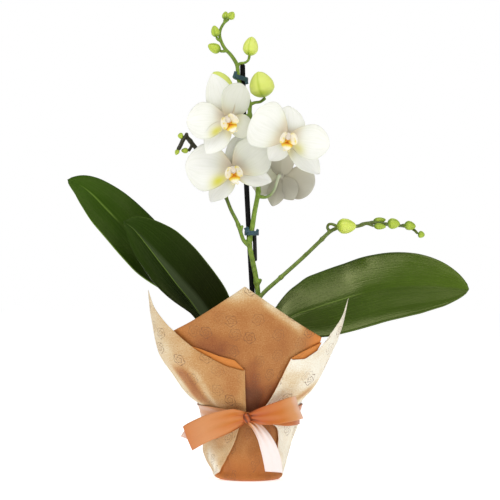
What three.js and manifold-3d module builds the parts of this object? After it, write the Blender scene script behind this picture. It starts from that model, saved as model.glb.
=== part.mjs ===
// A moth orchid in its grower's pot, gift wrapped: the pot of bark stands in the middle of one square
// sheet that is gathered up round it and tied below the rim with a satin ribbon.
// Millimetres, +Z up, +X to the right and the front of the wrap towards -Y. The origin is the middle of
// the flat underside, on the surface that the plant stands on.
import * as THREE from "three";
import { mergeVertices } from "three/addons/utils/BufferGeometryUtils.js";
import Module from "manifold-3d";

const wasm = await Module();
wasm.setup();

// ---------------------------------------------------------------- driving dimensions
const gap = 0.35; // clearance between pieces that touch

const sheetThick = 0.8; // wrap, as thick as a faceted solid may be thin
const potHeight = 80;
const potFootRadius = 29.5;
const potTopRadius = 43;
const potWall = 1.2;
const rimHeight = 5;
const rimOut = 1.8;
const drainRadius = 4.5;
const drainRing = 18;
const drainCount = 6;

const barkTop = 68;
const chipCount = 22;
const chipSeed = 11;

const crownRadius = 7.5;
const crownTop = 100;
const stakeRadius = 2.8;
const rodRadius = 2.1;

const tieHeight = 69;
const layerStep = 1.9; // from one layer of a pleat to the next
const ribbonWidth = 21;
const ribbonThick = 0.8;

const leafThick = 1.8;
const petalThick = 0.8;

// ---------------------------------------------------------------- colours
const finish = {
  wrap: { color: 0xb98a55, roughness: 0.75, metalness: 0 },
  ribbon: { color: 0xd98545, roughness: 0.4, metalness: 0 },
  pot: { color: 0x6b4a35, roughness: 0.5, metalness: 0 },
  bark: { color: 0x5a3d28, roughness: 0.95, metalness: 0 },
  leaf: { color: 0x2f4520, roughness: 0.3, metalness: 0 },
  stem: { color: 0x6f8f30, roughness: 0.5, metalness: 0 },
  bud: { color: 0xc8dc50, roughness: 0.5, metalness: 0 },
  petal: { color: 0xf2f3ea, roughness: 0.6, metalness: 0 },
  lip: { color: 0xf0c030, roughness: 0.5, metalness: 0 },
  stake: { color: 0x14120f, roughness: 0.6, metalness: 0 },
  clip: { color: 0x2e4a50, roughness: 0.4, metalness: 0 },
};

// ---------------------------------------------------------------- small helpers
const vec = (p) => new THREE.Vector3(...p);
const clamp = (x, low, high) => Math.min(Math.max(x, low), high);
const mix = (a, b, t) => a + (b - a) * t;
const smooth = (x, from, to) => THREE.MathUtils.smoothstep(x, from, to);
const radians = THREE.MathUtils.degToRad;

// Reads a table of [place, value] rows, straight between the rows and level past its ends.
function between(table, place) {
  for (let i = 1; i < table.length; i++) {
    const [a, valueA] = table[i - 1];
    const [b, valueB] = table[i];
    if (place <= b) return mix(valueA, valueB, clamp((place - a) / (b - a), 0, 1));
  }
  return table[table.length - 1][1];
}

// The same numbers on every run.
function randomFrom(seed) {
  let state = seed;
  return () => {
    state = (state * 1664525 + 1013904223) % 4294967296;
    return state / 4294967296;
  };
}

// ---------------------------------------------------------------- closed solids
// A closed geometry from points and triangles, turned outwards and without flat or doubled corners.
function closed(points, triangles) {
  const kept = triangles.filter(([a, b, c]) => a !== b && b !== c && c !== a);
  const volume = kept.reduce((sum, [a, b, c]) => {
    return sum + points[a].dot(points[b].clone().cross(points[c]));
  }, 0);
  const index = kept.flatMap(([a, b, c]) => (volume < 0 ? [a, c, b] : [a, b, c]));
  const geometry = new THREE.BufferGeometry().setFromPoints(points);
  return geometry.setIndex(index);
}

function weld(geometry) {
  const bare = geometry.clone();
  bare.deleteAttribute("normal");
  bare.deleteAttribute("uv");
  const merged = mergeVertices(bare, 1e-4);
  const points = [];
  for (let i = 0; i < merged.attributes.position.count; i++) {
    points.push(new THREE.Vector3().fromBufferAttribute(merged.attributes.position, i));
  }
  const triangles = [];
  for (let i = 0; i < merged.index.count; i += 3) {
    triangles.push([0, 1, 2].map((k) => merged.index.getX(i + k)));
  }
  return closed(points, triangles);
}

function toSolid(geometry) {
  const welded = geometry.index && !geometry.attributes.normal ? geometry : weld(geometry);
  return new wasm.Manifold(
    new wasm.Mesh({
      numProp: 3,
      vertProperties: new Float32Array(welded.attributes.position.array),
      triVerts: new Uint32Array(welded.index.array),
    }),
  );
}

function toGeometry(solid) {
  const mesh = solid.getMesh();
  const geometry = new THREE.BufferGeometry();
  geometry.setAttribute("position", new THREE.BufferAttribute(mesh.vertProperties, 3));
  return geometry.setIndex(new THREE.BufferAttribute(mesh.triVerts, 1));
}

const fuse = (parts) => toGeometry(parts.map(toSolid).reduce((a, b) => a.add(b)));
const carve = (body, tools) => {
  return toGeometry(tools.map(toSolid).reduce((a, b) => a.subtract(b), toSolid(body)));
};

// What is left of a carved piece once its loose scraps are dropped.
function largestBody(geometry) {
  const bodies = toSolid(geometry).decompose();
  return toGeometry(bodies.reduce((a, b) => (b.volume() > a.volume() ? b : a)));
}

// A thin blade: a grid of points across and along, thickened evenly to both sides along its normals.
// Both faces are split along the same diagonals. A round blade closes on itself across, and one with a
// floor is closed over its first ring, which lies level.
function blade({ across, along, pointAt, thickAt, round = false, floor = false }) {
  const columns = round ? across : across + 1;
  const grid = [];
  for (let j = 0; j <= along; j++) {
    for (let i = 0; i < columns; i++) grid.push(pointAt(i, j));
  }
  const at = (i, j) => {
    const column = round ? (i + columns) % columns : clamp(i, 0, across);
    return grid[clamp(j, 0, along) * columns + column];
  };
  const face = (side) =>
    grid.map((point, k) => {
      const i = k % columns;
      const j = Math.floor(k / columns);
      const acrossWay = at(i + 1, j).clone().sub(at(i - 1, j));
      const alongWay = at(i, j + 1).clone().sub(at(i, j - 1));
      const normal = acrossWay.cross(alongWay).normalize();
      if (floor && j === 0) normal.set(0, 0, normal.dot(point) > 0 ? -1 : 1);
      return point.clone().addScaledVector(normal, (side * thickAt(i, j)) / 2);
    });
  const points = [...face(1), ...face(-1)];
  const under = grid.length;
  const number = (i, j) => j * columns + (round ? i % columns : i);
  const triangles = [];
  const quad = (a, b, c, d) => triangles.push([a, b, c], [a, c, d]);
  for (let j = 0; j < along; j++) {
    for (let i = 0; i < across; i++) {
      const [a, b] = [number(i, j), number(i + 1, j)];
      const [c, d] = [number(i + 1, j + 1), number(i, j + 1)];
      triangles.push([a, b, c], [a, c, d]);
      triangles.push([under + a, under + c, under + b], [under + a, under + d, under + c]);
    }
  }
  const hub = points.length;
  if (floor) {
    points.push(new THREE.Vector3(0, 0, points[0].z), new THREE.Vector3(0, 0, points[under].z));
  }
  for (let i = 0; i < across; i++) {
    const [a, b] = [number(i, 0), number(i + 1, 0)];
    const [c, d] = [number(i, along), number(i + 1, along)];
    if (floor) triangles.push([b, a, hub], [under + a, under + b, hub + 1]);
    else quad(b, a, under + a, under + b);
    quad(c, d, under + d, under + c);
  }
  if (!round) {
    for (let j = 0; j < along; j++) {
      const [a, b] = [number(0, j), number(0, j + 1)];
      const [c, d] = [number(across, j), number(across, j + 1)];
      quad(a, b, under + b, under + a);
      quad(d, c, under + c, under + d);
    }
  }
  return closed(points, triangles);
}

// A lathe-turned spindle bent along a smooth line. Its radii are read evenly from foot to head.
function bentSpindle(line, radii, steps, sides) {
  const curve = new THREE.CatmullRomCurve3(line.map(vec));
  const rows = radii.map((radius, i) => [i / (radii.length - 1), radius]);
  const profile = [new THREE.Vector2(0, 0)];
  for (let k = 0; k <= steps; k++) {
    profile.push(new THREE.Vector2(between(rows, k / steps), k / steps));
  }
  profile.push(new THREE.Vector2(0, 1));
  const spindle = new THREE.LatheGeometry(profile, sides);
  const frames = curve.computeFrenetFrames(steps, false);
  const places = spindle.attributes.position;
  for (let n = 0; n < places.count; n++) {
    const k = Math.round(places.getY(n) * steps);
    const point = curve
      .getPointAt(k / steps)
      .addScaledVector(frames.normals[k], places.getX(n))
      .addScaledVector(frames.binormals[k], places.getZ(n));
    places.setXYZ(n, point.x, point.y, point.z);
  }
  return weld(spindle);
}

const pieces = new THREE.Group();
function addPiece(name, geometry, look) {
  const shown = geometry.index ? geometry.toNonIndexed() : geometry.clone();
  shown.computeVertexNormals();
  const mesh = new THREE.Mesh(shown, new THREE.MeshStandardMaterial(finish[look]));
  mesh.name = name;
  pieces.add(mesh);
}

// ---------------------------------------------------------------- grower's pot
const potFloor = sheetThick + gap;
const potRadius = (z) => mix(potFootRadius, potTopRadius, (z - potFloor) / potHeight);

function makePot() {
  const top = potFloor + potHeight;
  const outline = [
    [0, potFloor],
    [potFootRadius, potFloor],
    [potRadius(top - rimHeight), top - rimHeight],
    [potRadius(top - rimHeight) + rimOut, top - rimHeight],
    [potRadius(top) + rimOut, top],
    [potRadius(top) - potWall, top],
    [potRadius(potFloor + 2 * potWall) - potWall, potFloor + potWall],
    [0, potFloor + potWall],
  ];
  const shell = new THREE.LatheGeometry(outline.map(([r, z]) => new THREE.Vector2(r, z)), 26);
  shell.rotateX(Math.PI / 2);
  const drains = [];
  for (let n = 0; n < drainCount; n++) {
    const turn = (n / drainCount) * 2 * Math.PI;
    const hole = new THREE.CylinderGeometry(drainRadius, drainRadius, 6 * potWall, 8);
    hole.rotateX(Math.PI / 2);
    hole.translate(drainRing * Math.cos(turn), drainRing * Math.sin(turn), potFloor);
    drains.push(hole);
  }
  addPiece("pot", carve(shell, drains), "pot");
}

// ---------------------------------------------------------------- stakes, crown and roots
// The long stake has bowed a little under the flowers.
const stakeLine = [
  [11, 14, 14], [6.8, 10.5, 110], [2.4, 7.4, 199], [-2.6, 5.8, 290], [-5.8, 5.2, 360], [-8, 5.2, 441.5],
];
const rodFoot = [5.6, 5, 233.5];
const rodHead = [4.8, 5, 263];

const straight = (from, to) => [0, 1 / 3, 2 / 3, 1].map((t) => from.map((a, i) => mix(a, to[i], t)));
const stake = (grown) => {
  const [[x, y, foot], ...above] = stakeLine;
  return bentSpindle([[x, y, foot - grown], ...above], [stakeRadius + grown], 10, 10);
};

// Each root: a line from the crown over the bark and down into it.
const roots = [
  [[-5, -3, 74], [-15, -9, 79.5], [-23, -13, 78.5], [-28, -15, 70], [-29, -15, 60]],
  [[4, -4, 73], [12, -14, 79], [17, -22, 78.5], [19, -27, 70], [19, -28, 60]],
  [[-3, 5, 74], [-10, 15, 79.5], [-15, 23, 78.5], [-16, 28, 70], [-16, 29, 60]],
  [[6, 1, 73], [17, 0, 79], [26, -3, 78.5], [31, -5, 70], [32, -6, 60]],
];
const rootRadii = [2.6, 2.4, 2.4, 2.2, 1.8];
const crownLine = [[0, 0, 60], [0, 0, 74], [0, 0, 88], [0, 0, crownTop]];
const crownRadii = [5, 6.5, crownRadius, crownRadius, crownRadius - 1];
const rootSolids = (grown) =>
  roots.map((line) => bentSpindle(line, rootRadii.map((r) => r + grown), 5, 6));
const crownSolid = (grown) =>
  bentSpindle(grown ? crownLine.map(([x, y, z]) => [x, y, z - grown]) : crownLine,
    crownRadii.map((r) => r + grown), 4, 12);

// ---------------------------------------------------------------- bark
function makeBark() {
  const clear = gap + 0.2;
  const foot = potFloor + potWall + gap;
  const outline = [
    [0, foot],
    [potRadius(foot) - potWall - clear - 1.5, foot],
    [potRadius(barkTop) - potWall - clear, barkTop],
    [0, barkTop + 2],
  ];
  const body = new THREE.LatheGeometry(outline.map(([r, z]) => new THREE.Vector2(r, z)), 26);
  body.rotateX(Math.PI / 2);
  const random = randomFrom(chipSeed);
  const chips = [];
  for (let n = 0; n < chipCount; n++) {
    const ring = Math.sqrt((n + 0.5) / chipCount) * (potRadius(barkTop) - 12);
    const turn = n * 2.4 + random();
    const chip = new THREE.BoxGeometry(mix(9, 15, random()), mix(5, 9, random()), mix(3.5, 6, random()));
    chip.rotateX(mix(-0.5, 0.5, random()));
    chip.rotateY(mix(-0.5, 0.5, random()));
    chip.rotateZ(random() * Math.PI);
    chip.translate(ring * Math.cos(turn), ring * Math.sin(turn), barkTop + mix(0.5, 2.5, random()));
    chips.push(chip);
  }
  const heap = carve(fuse([body, ...chips]), [stake(gap), crownSolid(gap), ...rootSolids(gap)]);
  addPiece("bark", largestBody(heap), "bark");
}

// ---------------------------------------------------------------- stems
const mainStem = [
  [3.4, -0.5, crownTop + gap], [6, -1.5, 130], [9, 0.5, 165], [8.6, 1.5, 195], [5.9, 1, 217],
  [2, 0.5, 236], [-0.6, 0, 250], [0.3, 0, 259], [2.4, 0.2, 268], [4.6, 1, 283], [8, 2, 301],
  [9, 3, 311], [7, 4, 330], [3.4, 4, 353], [2.1, 3, 375], [-0.3, 2, 390], [-0.2, 1, 400],
  [-3, 0, 408], [-7, 0, 415], [-11.2, 0, 423], [-12.8, 0, 432], [-14, 0, 442], [-20, -1, 452],
  [-26.5, -2, 459], [-30, -2.5, 465], [-32.2, -3, 472], [-32, -3.5, 478], [-28, -4, 486],
  [-23.3, -5.5, 489.8],
];
const leftBranch = [
  [-0.8, 0, 248], [-4.6, -0.4, 251.5], [-7.2, -0.2, 255], [-9.4, 0.4, 261], [-13.6, 2, 273.5],
  [-20.4, 4, 287], [-26.4, 6, 302], [-36, 9, 322], [-49, 10, 342], [-61, 7, 357],
  [-66, 4, 363], [-69, 2, 365.2], [-71.8, 0, 361.5], [-74, -1, 356.5], [-76.4, -2, 352],
];
const rightSpike = [
  [-3.2, -2.2, crownTop + gap], [-1.5, -6, 130], [1, -7, 160], [4.6, -6.5, 181], [11.8, -5, 195],
  [32.2, -1, 214], [56.8, 2, 236], [73, 2, 251.5], [86.7, 2, 264.3], [96.5, 4, 268.4],
  [107.2, 5, 269.6], [115.7, 4, 269.6], [123.8, 2, 272.4], [139, 1.5, 272.8], [146, 5, 271.6],
  [154, 8.4, 270.4], [162, 6.4, 270], [170, 7.2, 268.4], [176, 4, 265.4], [178.6, -1, 262.2],
];

// Pedicels and the far lengths of stem, each sunk into the stem it grows from.
const mainPedicels = [
  {
    line: [[-13.6, 0, 441], [-10.5, -1, 443.6], [-5, -2, 444.4], [-1.7, -3, 447.2], [-0.7, -3, 450.9]],
    r: 1.3,
  },
  { line: [[-25, -2, 457], [-28, -2.6, 456.3], [-31, -3, 456.4]], r: 1.4 },
  { line: [[-31.6, -3, 467.5], [-34, -5.4, 468.4], [-35.4, -7.6, 470.2]], r: 1.3 },
  { line: [[-28, -4, 486], [-27.4, -3.5, 488], [-27.2, -3, 489.9]], r: 1.2 },
  { line: [[-0.2, 1, 399.5], [5, -1, 401.6], [11, -4, 402.3], [15.6, -6, 405.5]], r: 1.5 },
  { line: [[-3, 0, 408], [-10, -1, 406.5], [-19, -3, 405.4], [-25.2, -4, 407.8]], r: 1.4 },
];
const rightPedicels = [
  {
    line: [[86, 2, 263.7], [82.9, 0, 267.5], [84, -3, 271.2], [87.5, -5.6, 271.6], [91.6, -6, 270]],
    r: 1.4,
  },
  { line: [[123.8, 2, 272.4], [127.5, 3.8, 273.6], [131.4, 5, 274.4]], r: 1.1 },
  { line: [[124, 2, 272.4], [127.6, -1.6, 271], [131.4, -4, 269.7]], r: 1.1 },
  { line: [[140, 2, 272.7], [143.5, 0.8, 272.6], [146.1, 0, 272.4]], r: 1.2 },
  { line: [[161, 6.6, 270], [162.6, 2.4, 270.6], [164.3, 0.2, 271.1]], r: 1.1 },
];
const leftPedicels = [
  { line: [[-67.2, 3, 364.6], [-68, 2, 368.2]], r: 1.3 },
  { line: [[-62, 7, 357.5], [-64, 5.5, 353], [-65.4, 4.4, 351]], r: 1.1 },
];
const bracts = [
  { line: [[-9.6, 0.2, 262], [-9, -1, 266], [-8.4, -1.4, 269.4]], r: 1.3 },
  { line: [[56.8, 2, 236], [58.6, 0.8, 238.6], [60.4, 0.2, 240.2]], r: 1.6 },
  { line: [[7.6, 1, 205], [10.2, 0.4, 209.4], [11.2, 0.2, 212]], r: 1.5 },
];
const twigs = (list, steps) => list.map(({ line, r }) => bentSpindle(line, [r * 1.15, r, r], steps, 5));

// ---------------------------------------------------------------- blooms
// Petals and sepals: where each points in the bloom's own face (degrees from its right hand), length,
// greatest width, how far it leans out of the face, how it curls towards its tip and how it is twisted.
const hubRadius = 4.4;
const petalShape = { belly: 1.25, round: 0.55, cup: 0.22 };
const sepalShape = { belly: 0.95, round: 0.7, cup: 0.18 };
const blooms = [
  {
    centre: [-23.2, -34, 380], face: [2, 0], roll: 27,
    stalk: [[-0.2, 2, 388], [-7, -7, 387], [-16, -19, 384.5]],
    petals: [
      { way: 108, long: 51, wide: 30, lean: 3, curl: -12, shape: sepalShape },
      { way: 74, long: 40, wide: 44, lean: 4, curl: 4, twist: 42, shape: petalShape },
      { way: 181, long: 42, wide: 40, lean: 4, curl: -14, shape: petalShape },
      { way: 237, long: 40, wide: 27, lean: 3, curl: -14, shape: sepalShape },
      { way: -12, long: 32, wide: 25, lean: -6, curl: -10, shape: sepalShape },
    ],
  },
  {
    centre: [38.5, -34, 362], face: [8, 0], roll: -8,
    stalk: [[2.2, 3, 373], [11, -4, 372], [24, -17, 366]],
    petals: [
      { way: 85, long: 33, wide: 36, lean: -3, curl: -12, shape: sepalShape },
      { way: 160, long: 36, wide: 52, lean: 4, curl: -12, shape: petalShape },
      { way: -9, long: 45, wide: 37, lean: 6, curl: -14, shape: petalShape },
      { way: -45, long: 52, wide: 26, lean: -6, curl: -12, shape: sepalShape },
      { way: 236, long: 30, wide: 24, lean: -22, curl: -10, shape: sepalShape },
    ],
  },
  {
    centre: [-17.5, -13, 329], face: [0, -6], roll: 8,
    stalk: [[-36, 9, 322], [-33, 5, 327], [-25, -1, 329]],
    petals: [
      { way: 79, long: 38, wide: 25, lean: -2, curl: -8, shape: sepalShape },
      { way: 174, long: 50, wide: 50, lean: 4, curl: -14, shape: petalShape },
      { way: 36, long: 44, wide: 44, lean: 2, curl: -10, shape: petalShape },
      { way: -17, long: 41, wide: 22, lean: 0, curl: -12, shape: sepalShape },
      { way: 234, long: 41, wide: 24, lean: 0, curl: -14, shape: sepalShape },
    ],
  },
  {
    centre: [33.4, 20, 323], face: [165, -6], roll: 0,
    stalk: [[8.4, 2.4, 301.5], [16, 5, 300.6], [21.5, 8, 303], [26.5, 11, 310]],
    petals: [
      { way: 92, long: 34, wide: 28, lean: -3, curl: -12, shape: sepalShape },
      { way: 194, long: 37, wide: 38, lean: 4, curl: -14, shape: petalShape },
      { way: 2, long: 34, wide: 40, lean: 4, curl: -14, shape: petalShape },
      { way: 238, long: 29, wide: 24, lean: -3, curl: -10, shape: sepalShape },
      { way: 283, long: 32, wide: 22, lean: -3, curl: -10, shape: sepalShape },
    ],
  },
];

const columnRadii = [3, 3.4, 3, 1.6];
const lipLobes = [
  { way: 270, long: 12, wide: 12, lean: 30, curl: -30, shape: sepalShape },
  { way: 24, long: 12, wide: 11, lean: 44, curl: 20, shape: petalShape },
  { way: 156, long: 12, wide: 11, lean: 44, curl: 20, shape: petalShape },
];

// A bloom's own right, up and out directions.
function bloomFrame({ centre, face: [turn, tilt] }) {
  const out = new THREE.Vector3(0, -1, 0);
  out.applyAxisAngle(new THREE.Vector3(1, 0, 0), radians(-tilt));
  out.applyAxisAngle(new THREE.Vector3(0, 0, 1), radians(turn));
  const right = new THREE.Vector3().crossVectors(out, new THREE.Vector3(0, 0, 1)).negate().normalize();
  const up = new THREE.Vector3().crossVectors(out, right).normalize();
  return { centre: vec(centre), right, up, out };
}

// One petal, from the middle of the bloom out along its own direction.
function petalBlade(frame, petal, { from = 1.5, ahead = 0, across = 4, along = 5, thick = petalThick } = {}) {
  const turn = radians(petal.way);
  const way = frame.right.clone().multiplyScalar(Math.cos(turn));
  way.addScaledVector(frame.up, Math.sin(turn));
  const twist = radians(petal.twist ?? 0);
  const side = new THREE.Vector3().crossVectors(frame.out, way).normalize();
  side.multiplyScalar(Math.cos(twist)).addScaledVector(frame.out, Math.sin(twist));
  const { belly, round, cup } = petal.shape;
  return blade({
    across,
    along,
    thickAt: () => thick,
    pointAt: (i, j) => {
      const u = (2 * i) / across - 1;
      const v = j / along;
      const reach = mix(0.04, 0.985, v);
      const half = (petal.wide / 2) * Math.sin(Math.PI * reach ** belly) ** round;
      const bend = radians(petal.lean + (petal.curl * v) / 2);
      const length = from + petal.long * v;
      const rise = ahead + length * Math.sin(bend) + cup * half * u * u;
      return frame.centre
        .clone()
        .addScaledVector(way, length * Math.cos(bend))
        .addScaledVector(side, half * u)
        .addScaledVector(frame.out, rise);
    },
  });
}

// The flower's stalk comes out of the stem and ends just behind the hub.
function stalkLine(bloom) {
  const { centre, out } = bloomFrame(bloom);
  const behind = (distance) => centre.clone().addScaledVector(out, -distance).toArray();
  return [...bloom.stalk, behind(2 * hubRadius), behind(hubRadius + 2 * gap)];
}

function makeBloom(bloom, n) {
  const frame = bloomFrame(bloom);
  const roll = radians(bloom.roll);
  const turned = ([x, y, z]) => {
    const point = frame.centre.clone().addScaledVector(frame.out, z);
    point.addScaledVector(frame.right, x * Math.cos(roll) - y * Math.sin(roll));
    point.addScaledVector(frame.up, x * Math.sin(roll) + y * Math.cos(roll));
    return point.toArray();
  };
  const columnLine = [[0, 0.5, 0], [0, 1.6, 5], [0, 1.4, 9], [0, 0.2, 12]].map(turned);
  const column = (grown) => bentSpindle(columnLine, columnRadii.map((r) => r + grown), 3, 6);
  // The sepals lie behind the two petals.
  const blades = bloom.petals.map((petal) =>
    petalBlade(frame, petal, petal.shape === petalShape ? { ahead: 1.5 } : { across: 2 }),
  );
  const hub = new THREE.SphereGeometry(hubRadius, 7, 4).translate(...frame.centre.toArray());
  addPiece("bloom_" + n, fuse([...blades, hub, column(0)]), "petal");

  // The lip hangs from the foot of the column: a middle lobe and two that stand up beside it.
  const lipFrame = { ...frame, centre: vec(turned([0, -3.2, 7.2])) };
  const lobes = lipLobes.map((lobe) =>
    petalBlade(lipFrame, { ...lobe, way: lobe.way + bloom.roll }, { from: 0.5, across: 2, along: 3 }),
  );
  const callus = new THREE.SphereGeometry(2.5, 6, 4).translate(...lipFrame.centre.toArray());
  addPiece("lip_" + n, carve(fuse([...lobes, callus]), [column(gap)]), "lip");
}

// ---------------------------------------------------------------- buds
// From the end of its pedicel to its tip, with its greatest radius.
const buds = [
  { name: "bud_top_1", from: [-22.6, -6.1, 490.2], to: [-17.4, -8.4, 497.7], r: 4.3 },
  { name: "bud_top_2", from: [-27.1, -2.6, 490.4], to: [-25.6, 0, 499.2], r: 3.5 },
  { name: "bud_left_upper", from: [-35.7, -7.9, 471], to: [-38.4, -9.4, 483.2], r: 4.6 },
  { name: "bud_left_lower", from: [-31.5, -3.2, 456.6], to: [-44.8, -4, 463], r: 5.4 },
  { name: "bud_right", from: [-0.6, -3, 451.4], to: [2.2, -3.6, 471.9], r: 8.2 },
  { name: "bud_large", from: [15.6, -6.4, 406.9], to: [8.6, -8, 434.2], r: 13.3 },
  { name: "bud_behind", from: [-25.9, -4.5, 408.8], to: [-38.6, -8, 434], r: 12.4 },
  { name: "bud_branch_1", from: [-71.6, 1, 366.2], to: [-77.2, -1, 366.2], r: 3.3 },
  { name: "bud_branch_2", from: [-76.8, -2.3, 351.5], to: [-79.2, -3, 345.6], r: 2.5 },
  { name: "bud_branch_3", from: [-66.1, 4, 350.6], to: [-73.6, 1, 350.4], r: 3 },
  { name: "bud_right_1", from: [92.2, -6.1, 269.7], to: [113.4, -6.6, 269.3], r: 8.2 },
  { name: "bud_right_2", from: [132, 5.2, 274.6], to: [145.8, 6.8, 276.6], r: 3.6 },
  { name: "bud_right_3", from: [132, -4.2, 269.6], to: [145.2, -6, 268.8], r: 3.4 },
  { name: "bud_right_4", from: [146.7, 0, 272.4], to: [160.6, 0, 272], r: 5.8 },
  { name: "bud_right_5", from: [164.9, -0.4, 271.2], to: [177.4, -0.4, 268.8], r: 5 },
  { name: "bud_right_6", from: [179.4, -2, 261.4], to: [186.8, -2, 259.6], r: 3.8 },
];
const budProfile = [0.16, 0.8, 1, 0.97, 0.82, 0.55, 0.18];

function makeBud({ name, from, to, r }) {
  addPiece(name, bentSpindle(straight(from, to), budProfile.map((share) => share * r), 5, 7), "bud");
}

// ---------------------------------------------------------------- leaves
// Each midrib runs from the crown to the tip. The roll turns the upper face from the viewer towards the
// sky, the fold lifts both halves off the midrib and the droop lets their edges fall again.
// Where a leaf is broader on one side of its midrib, the halves say so: its lower side, then its upper.
const leafOutline = [
  [0, 0.16], [0.12, 0.34], [0.3, 0.7], [0.5, 0.95], [0.64, 1], [0.8, 0.86], [0.92, 0.55], [1, 0.09],
];
const neckedOutline = [
  [0, 0.16], [0.22, 0.36], [0.3, 0.5], [0.36, 0.74], [0.45, 0.95], [0.58, 1], [0.7, 0.97], [0.8, 0.86],
  [0.92, 0.55], [1, 0.09],
];
const leaves = [
  {
    name: "leaf_back_left", outline: leafOutline, half: 33, halves: [0.86, 1],
    roll: [[0, 85], [0.3, 40], [1, 26]], fold: 0.34, droop: 0.22,
    midrib: [[-7.6, 5.8, 97], [-19, 13, 120], [-37, 17, 149], [-57, 18, 177], [-82, 21, 207],
      [-110, 23, 239], [-149, 24, 281.3], [-179.6, 25, 311], [-197.3, 26, 320]],
  },
  {
    name: "leaf_front_left", outline: leafOutline, half: 40, halves: [0.6, 1],
    roll: [[0, 85], [0.3, 40], [0.5, 34], [1, 32]], fold: 0.45, droop: 0.14,
    midrib: [[-10.8, -5.4, 85], [-19, -9, 104], [-35, -10, 142], [-55.6, -10, 178], [-79.9, -15, 209.6],
      [-101.4, -20, 238], [-124, -24, 266], [-133.5, -26, 273.2]],
  },
  {
    name: "leaf_right", outline: neckedOutline, half: 39, halves: [0.95, 1],
    roll: [[0, 82], [0.3, 24], [0.5, 18], [1, 12]], fold: 0.2, droop: 0.34,
    midrib: [[8.9, -1, 90], [15, 0, 114], [26, 2, 146], [41.8, 5, 170.5], [71.4, 12, 182], [104.5, 18, 192.5],
      [137.7, 17, 202], [162.6, 18, 206], [188.8, 18, 206.8], [213.4, 16, 204.7], [235.6, 14, 201.6]],
  },
];

function makeLeaf({ name, outline, half, halves, roll, fold, droop, midrib }) {
  const curve = new THREE.CatmullRomCurve3(midrib.map(vec));
  const across = 6;
  const along = 14;
  const toViewer = new THREE.Vector3(0, -1, 0);
  const pointAt = (i, j) => {
    const u = (2 * i) / across - 1;
    const v = j / along;
    const tangent = curve.getTangentAt(v);
    const face = toViewer.clone().addScaledVector(tangent, -toViewer.dot(tangent)).normalize();
    let up = new THREE.Vector3().crossVectors(face, tangent);
    if (up.z < 0) up.negate();
    const turn = radians(between(roll, v));
    const normal = face.clone().multiplyScalar(Math.cos(turn)).addScaledVector(up, Math.sin(turn));
    const side = up.multiplyScalar(Math.cos(turn)).addScaledVector(face, -Math.sin(turn));
    const width = half * between(outline, v) * halves[u < 0 ? 0 : 1];
    const s = Math.abs(u);
    const lift = width * (fold * s - droop * s * s) * mix(1.5, 0.7, v);
    return curve.getPointAt(v).addScaledVector(side, width * u).addScaledVector(normal, lift);
  };
  const thickAt = (i) => leafThick * (i === 0 || i === across ? 0.5 : 1);
  addPiece(name, blade({ across, along, pointAt, thickAt }), "leaf");
}

// ---------------------------------------------------------------- wrap
// The sheet's outer radius at a height, at the left and at the right: the part round the pot, then the
// flare above the tie, which opens less to the front and back.
const bodyLeft = [
  [0, 33], [3, 38.5], [9, 40.7], [17, 45], [24, 48], [32, 49.8], [58, 50], [tieHeight, 49.5], [80, 50],
];
const bodyRight = [
  [0, 31.5], [3, 34.5], [10, 36.4], [21, 39], [30, 41.7], [40, 44.8], [59, 50.5], [tieHeight, 49.5], [80, 50],
];
const flareLeft = [[66, 0], [78, 3], [86, 13], [95, 21], [109, 31], [136, 48], [164, 54], [203, 60]];
const flareRight = [[66, 0], [80, 4], [98, 19], [123, 32], [152, 45], [193, 57]];
const frontOpening = 0.67;
const gatherDepth = 1.1;
const gatherCount = 11;
const gatherReach = 20;

function wrapSmooth(turn, z) {
  const side = Math.sin(turn);
  const toRight = (1 + side) / 2;
  const body = mix(between(bodyLeft, z), between(bodyRight, z), toRight);
  const flare = mix(between(flareLeft, z), between(flareRight, z), toRight);
  return body + flare * mix(frontOpening, 1, side * side);
}
function wrapRadius(turn, z) {
  const gather = Math.exp(-(((z - tieHeight) / gatherReach) ** 2));
  return wrapSmooth(turn, z) + gatherDepth * gather * Math.cos(gatherCount * turn);
}

// The two pleats at the front, as degrees from the front to the right by height: each has an outer fold,
// where the outer layer turns back under itself, and an inner fold, where it turns forward again as the
// front panel. The sheet's left and right corners are followed in the same way.
const folds = {
  leftOuter: [[11, -52], [20, -39], [32, -28], [45, -20], [59, -14], [tieHeight, -6], [119, -5.5]],
  leftInner: [[11, -58], [30, -54], [58, -42], [tieHeight, -38], [152, -62]],
  rightInner: [[11, 67], [30, 61], [58, 52], [tieHeight, 46], [150, 58]],
  rightOuter: [[11, 63], [28, 46.5], [58, 34.6], [tieHeight, 13], [86, 22], [130, 33.7]],
  leftCorner: [[0, -96], [70, -92], [203, -80]],
  back: [[0, -180]],
  rightCorner: [[0, 94], [70, 90], [193, 78]],
};
// Round the foot the pleats are let out, so that all of the sheet lies in one layer there.
const footTurns = {
  outer: [-76, -276], rightPleat: [82.6, 74.4], front: [73, -64], leftPleat: [-65.4, -74.6],
};

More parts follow.
